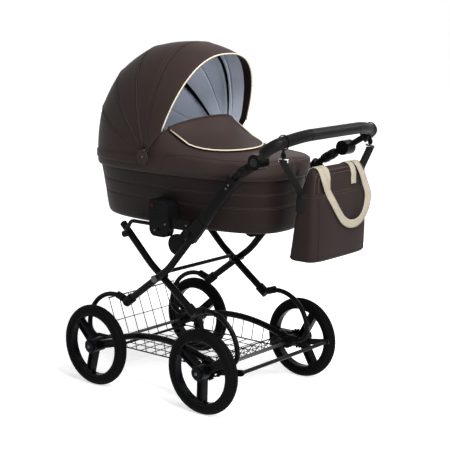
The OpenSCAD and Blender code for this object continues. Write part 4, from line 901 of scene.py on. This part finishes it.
def hang_strap(name, side):
    hang = Vector((CLIP.x, side * CLIP_Y, CLIP.z))
    loop = [hang + Vector((RING_R * math.cos(t), 0, RING_R * math.sin(t))) for t in turns(36)]
    ring = tube(name + "_ring", loop, RING_T / 2, plastic, 10, closed=True)
    low = hang.z - RING_R
    stem = [hang + Vector((0, 0, -RING_R - drop)) for drop in (0.0, 0.006, 0.012, HOOK_LEN)]
    hook = tube(name + "_hook", stem, HOOK_R, plastic, 10)
    eye = [Vector((CLIP.x + EYE_W * math.cos(t), hang.y, low - EYE_DROP + EYE_H * math.sin(t))) for t in turns(24)]
    snap = tube(name + "_snap", eye, SNAP_R, plastic, closed=True)
    join = Vector((CLIP.x, hang.y, low - HOOK_LEN))
    corners = ((-1, 0.003), (1, 0.003), (1, -0.004), (-1, -0.004))
    outline = [join + Vector((BUCKLE_HALF * sx, 0, dz)) for sx, dz in corners]
    buckle = tube(name + "_buckle", outline, BUCKLE_R, steel, closed=True)
    end_y = BAG_W / 2 - 0.005 + 0.0022
    turn_z = BAG_LOW + 0.72 * BAG_H
    sewn = [Vector((CLIP.x, side * (end_y + out), turn_z + dz))
            for out, dz in ((0.002, 0.010), (0.001, -0.02), (0.003, -0.055))]
    line = smooth_line([join, join + Vector((0, -side * 0.004, -0.012))] + sewn, 40)
    web, run = ribbon(name + "_webbing", line, [Vector((0, side, 0.2))] * len(line), WEB_W, WEB_T, strap_black)
    for part in (ring, hook, snap):
        put(part, "bag")
    put(buckle, "bag")
    put(web, "bag")
    return web


hangers = [hang_strap("bag_strap_left", -1), hang_strap("bag_strap_right", 1)]
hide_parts("bag_straps")

# %% [markdown]
# ## Grip cover
# The bar is bent in one sloping plane. Its cover is a leather sleeve that is sewn along the inner
# side, so it is a round tube along the bent line with a fine seam.

# %% Grip cover
KNUCKLE = Vector(joint["handle_tilt"]["pos_m"])
SLOPE, COVER_R = math.radians(35.0), 0.0198


def rounded(points, radii, step=0.006):
    """Plane points joined by straight runs and round bends."""
    pts = [Vector(p) for p in points]
    line = [pts[0]]
    for before, corner, after, r in zip(pts, pts[1:], pts[2:], radii):
        u, v = (corner - before).normalized(), (after - corner).normalized()
        turn = u.angle(v)
        cut, w = r * math.tan(turn / 2), 1 / math.cos(turn / 2)
        a, b = corner - u * cut, corner + v * cut
        n = max(3, int(r * turn / step))
        for i in range(n + 1):
            s = i / n
            weights = ((1 - s) ** 2, 2 * s * (1 - s) / w, s * s)
            line.append((a * weights[0] + corner * weights[1] + b * weights[2]) / sum(weights))
    line.append(pts[-1])
    return line


def grip_line(y, u):
    return KNUCKLE + Vector((u * math.cos(SLOPE), y, u * math.sin(SLOPE)))


GRIP = [(0.2614, 0.020), (0.300, 0.108), (0.165, 0.150)]
start = [between(a, b, 0.45) for a, b in zip(GRIP[0], GRIP[1])]
corners = [tuple(start)] + GRIP[1:] + [(-y, u) for y, u in GRIP[:0:-1]] + [(-start[0], start[1])]
bar = [grip_line(p.x, p.y) for p in rounded([(y, u, 0) for y, u in corners], (0.044, 0.260, 0.260, 0.044))]
fine_bar = smooth_line(bar, 4 * len(bar))
cover = put(tube("grip_cover_leather", fine_bar, COVER_R, hide_grip, 24), "grip", "grip_cover")

# %% [markdown]
# ## Stitches
# A stitch is a short bar of thread, repeated along a seam at an even step. Geometry Nodes does just
# that: the seam is a curve, Curve to Points walks it at a fixed length, and a small cylinder is
# placed at every point along the curve's own direction. The result is made a plain mesh.

# %% Stitch nodes
def node_group(name, numbers, finish):
    """A tree that ends by placing instances on points, made real and given a material; with its inputs."""
    t = bpy.data.node_groups.new(name, "GeometryNodeTree")
    inputs = [("Geometry", "Geometry")] + [(label, "Float") for label in numbers] + [(finish, "Material")]
    for label, kind in inputs:
        t.interface.new_socket(label, in_out="INPUT", socket_type="NodeSocket" + kind)
    t.interface.new_socket("Geometry", in_out="OUTPUT", socket_type="NodeSocketGeometry")
    source, sink = t.nodes.new("NodeGroupInput"), t.nodes.new("NodeGroupOutput")
    placed, real, colour = [t.nodes.new("GeometryNode" + kind) for kind in
                            ("InstanceOnPoints", "RealizeInstances", "SetMaterial")]
    link(t, (placed.outputs["Instances"], real.inputs["Geometry"]),
         (real.outputs["Geometry"], colour.inputs["Geometry"]), (source.outputs[finish], colour.inputs["Material"]),
         (colour.outputs["Geometry"], sink.inputs["Geometry"]))
    return t, source.outputs, placed.inputs


def repeat(name, data, group, values, body):
    """Runs a node tree on a curve or on points and keeps the result as one plain piece."""
    source = bpy.data.objects.new(name, data)
    scene.collection.objects.link(source)
    mod = source.modifiers.new(group.name, "NODES")
    mod.node_group = group
    for item in group.interface.items_tree:
        if item.in_out == "INPUT" and item.name in values:
            mod[item.identifier] = values[item.name]
    graph = bpy.context.evaluated_depsgraph_get()
    mesh = bpy.data.meshes.new_from_object(source.evaluated_get(graph))
    bpy.data.objects.remove(source)
    made = bpy.data.objects.new(name, mesh)
    mesh.name = name
    scene.collection.objects.link(made)
    print(name, len(mesh.polygons), "faces")
    return put(made, body)


def stitch_tree():
    t, source, placed = node_group("stitches", ("Step", "Length", "Radius"), "Thread")
    walk, bar = t.nodes.new("GeometryNodeCurveToPoints"), t.nodes.new("GeometryNodeMeshCylinder")
    walk.mode = "LENGTH"
    bar.inputs["Vertices"].default_value = 6
    link(t, (source["Geometry"], walk.inputs["Curve"]), (source["Step"], walk.inputs["Length"]),
         (source["Length"], bar.inputs["Depth"]), (source["Radius"], bar.inputs["Radius"]),
         (walk.outputs["Points"], placed["Points"]), (walk.outputs["Rotation"], placed["Rotation"]),
         (bar.outputs["Mesh"], placed["Instance"]))
    return t


STITCH = stitch_tree()


def stitches(name, lines, body, step=0.006, length=0.0042, radius=0.0006, closed=False):
    """Stitches along one or more lines of points, as one piece on one body."""
    curve = bpy.data.curves.new(name, "CURVE")
    curve.dimensions = "3D"
    for line in lines:
        spline = curve.splines.new("POLY")
        spline.points.add(len(line) - 1)
        for point, p in zip(spline.points, line):
            point.co = (*p, 1.0)
        spline.use_cyclic_u = closed
    return repeat(name, curve, STITCH, {"Step": step, "Length": length, "Radius": radius, "Thread": thread}, body)


# %% [markdown]
# ## Covers on the joints
# A leatherette roundel covers the pivot of the hood on each side, and a moulded sleeve with two grip
# rings covers each handle arm short of its knuckle. Both are turned shapes: a short profile carried
# round an axis, as is the boss on each fold latch's pivot. Thin ribs stand on the flat faces of the
# carrycot adapters and of the sockets above them.

# %% Turned covers and ribs
def turned(name, start, along, profile, material, closed=False):
    """A turned shape: profile lists (distance along the axis, radius) from its root."""
    axis = Vector(along).normalized()
    across = axis.orthogonal().normalized()
    up = axis.cross(across)
    rings = [[Vector(start) + far * axis + radius * (math.cos(turn) * across + math.sin(turn) * up)
              for turn in turns(32)] for far, radius in profile]
    return loft(name, rings, [material], closed)


def rib_outline(x0, x1, z0, z1, radius, y):
    """A rectangle with round corners on a face that looks sideways."""
    line = []
    left, right, low, high = x0 + radius, x1 - radius, z0 + radius, z1 - radius
    for cx, cz, start in ((right, high, 0), (left, high, 90), (left, low, 180), (right, low, 270)):
        for i in range(7):
            turn = math.radians(start + 15 * i)
            line.append((cx + radius * math.cos(turn), y, cz + radius * math.sin(turn)))
    return line


ARM_END, ARM_TURN, ARM_LEN, ARM_Y = Vector((0.4695, 0.0, 0.8884)), math.radians(29.0), 0.112, 0.237
LATCH, BOSS_Y, ROUNDEL_Y, RIB_Y, RIB_R = (0.150, 0.639), 0.2355, 0.2436, 0.2459, 0.0011
ROUNDEL = [(-0.0006, 0.0005), (-0.0006, 0.0257), (0.0004, 0.0270), (0.0012, 0.0265), (0.0018, 0.0230),
           (0.0022, 0.0120), (0.0023, 0.0005)]
ARM_COVER = [(0.012, 0.0124), (0.012, 0.0150), (0.015, 0.0166), (0.026, 0.0170), (0.028, 0.0180), (0.031, 0.0180),
             (0.033, 0.0170), (0.050, 0.0172), (0.052, 0.0181), (0.055, 0.0181), (0.057, 0.0172), (0.068, 0.0166),
             (0.073, 0.0150), (0.075, 0.0124)]
LATCH_BOSS = [(0.0, 0.0005), (0.0, 0.0170), (0.0050, 0.0164), (0.0058, 0.0155), (0.0058, 0.0118), (0.0048, 0.0110),
              (0.0048, 0.0085), (0.0072, 0.0078), (0.0078, 0.0070), (0.0078, 0.0005)]
RIBS = [("adapter_rib_", (-0.014, 0.064, 0.591, 0.650, 0.012), "chassis"),
        ("bracket_rib_", (0.008, 0.064, 0.663, 0.706, 0.008), "carrycot")]
for side, label in ((-1, "left"), (1, "right")):
    aside = (0, side, 0)
    roundel = turned("hood_pivot_roundel_" + label, (PIVOT.x, side * ROUNDEL_Y, PIVOT.z), aside, ROUNDEL, hide)
    put(roundel, "carrycot")
    along = Vector((math.cos(ARM_TURN), 0, math.sin(ARM_TURN)))
    start = ARM_END - ARM_LEN * along + Vector((0, side * ARM_Y, 0))
    put(turned("handle_arm_cover_" + label, start, along, ARM_COVER, plastic, closed=True), "chassis")
    for name, shape, body in RIBS:
        rib = tube(name + label, rib_outline(*shape, side * RIB_Y), RIB_R, plastic, closed=True)
        put(rib, body)
    boss = turned("latch_boss_" + label, (LATCH[0], side * BOSS_Y, LATCH[1]), aside, LATCH_BOSS, plastic)
    put(boss, "chassis")
print("turned covers:", 6)

# %% [markdown]
# ## Screws and rivets
# Bolts hold the wheels and the fittings, and a rivet holds the hood on each side. A second node tree
# puts one head on every point of a small mesh, and turns it to the direction stored at that point.

# %% Stud nodes
def stud_tree():
    t, source, placed = node_group("studs", ("Radius", "Height"), "Metal")
    head, drive, both, facing = [t.nodes.new("GeometryNode" + kind) for kind in
                                 ("MeshCone", "MeshCylinder", "JoinGeometry", "InputNamedAttribute")]
    turn = t.nodes.new("FunctionNodeAlignRotationToVector")
    head.inputs["Vertices"].default_value, drive.inputs["Vertices"].default_value = 20, 6
    facing.data_type = "FLOAT_VECTOR"
    facing.inputs["Name"].default_value = "facing"
    turn.axis = "Z"
    for label, share, socket in (("Radius", 0.7, head.inputs["Radius Top"]), ("Radius", 0.36, drive.inputs["Radius"]),
                                 ("Height", 2.5, drive.inputs["Depth"])):
        part = t.nodes.new("ShaderNodeMath")
        part.operation = "MULTIPLY"
        part.inputs[1].default_value = share
        link(t, (source[label], part.inputs[0]), (part.outputs[0], socket))
    link(t, (source["Radius"], head.inputs["Radius Bottom"]), (source["Height"], head.inputs["Depth"]),
         (head.outputs["Mesh"], both.inputs[0]), (drive.outputs["Mesh"], both.inputs[0]),
         (source["Geometry"], placed["Points"]), (both.outputs[0], placed["Instance"]),
         (facing.outputs[0], turn.inputs["Vector"]), (turn.outputs[0], placed["Rotation"]))
    return t


STUD = stud_tree()


BOLT, SCREW, RIVET, RIVET_Y = (0.0065, 0.0022), (0.0042, 0.0014), (0.0048, 0.0016), 0.2456


def studs(name, spots, body, head):
    """One screw or rivet head on each spot, which faces away from the middle plane."""
    mesh = bpy.data.meshes.new(name)
    mesh.from_pydata(spots, [], [])
    facing = mesh.attributes.new("facing", "FLOAT_VECTOR", "POINT")
    for item, spot in zip(facing.data, spots):
        item.vector = (0, math.copysign(1, spot[1]), 0)
    return repeat(name, mesh, STUD, {"Radius": head[0], "Height": head[1], "Metal": gunmetal}, body)


# %% Fit the studs
for name in ("front_left", "front_right", "rear_left", "rear_right"):
    low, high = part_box("hub_" + name)
    face = low[1] if name.endswith("left") else high[1]
    spot = ((low[0] + high[0]) / 2, face, (low[2] + high[2]) / 2)
    studs("wheel_bolt_" + name, [spot], "wheel_" + name, BOLT)
FITTINGS = [(0.054, 0.2458, 0.632), (0.004, 0.2458, 0.606), (LATCH[0], 0.2432, LATCH[1]), (0.346, 0.2545, 0.800),
            (0.334, 0.2520, 0.787)]
studs("fitting_screws", [(x, side * y, z) for side in (-1, 1) for x, y, z in FITTINGS], "chassis", SCREW)
studs("hood_rivets", [(PIVOT.x, side * RIVET_Y, PIVOT.z) for side in (-1, 1)], "carrycot", RIVET)

# %% Sew the seams
ROW_OFF, ROW_IN, HOOD_ROWS, VISOR_ROWS, COVER_IN = 0.0025, 0.0010, (0.16, 0.92), (0.10,), 0.0001
tub_lines = [tub_ring(line + dz, ROW_IN) for line in STITCH_Z for dz in (-ROW_OFF, ROW_OFF)]
stitches("cot_stitches", tub_lines, "carrycot", step=0.0075, length=0.0055, radius=0.0007, closed=True)
for k, (name, body, _, foot) in enumerate(HOOD_PIECES):
    arch = sweep(hood_reach(k, foot) - 1, 90)
    lines = [[hood_pt(k, share, d) for d in arch] for share in (HOOD_ROWS if k else VISOR_ROWS)]
    stitches("hood_" + name + "_stitches", lines, body)
stitches("flap_stitches", [[p + Vector((0, 0, 0.0002)) for p in flap_rows[-2]]], "carrycot")
stitches("bag_stitches", [bag_rings[9]], "bag", step=0.007, length=0.005, closed=True)
below = Vector((-math.sin(SLOPE), 0, math.cos(SLOPE))) * (COVER_R - COVER_IN)
stitches("grip_stitches", [[p - below for p in fine_bar[40:-40:3]]], "grip", step=0.005, length=0.0035)
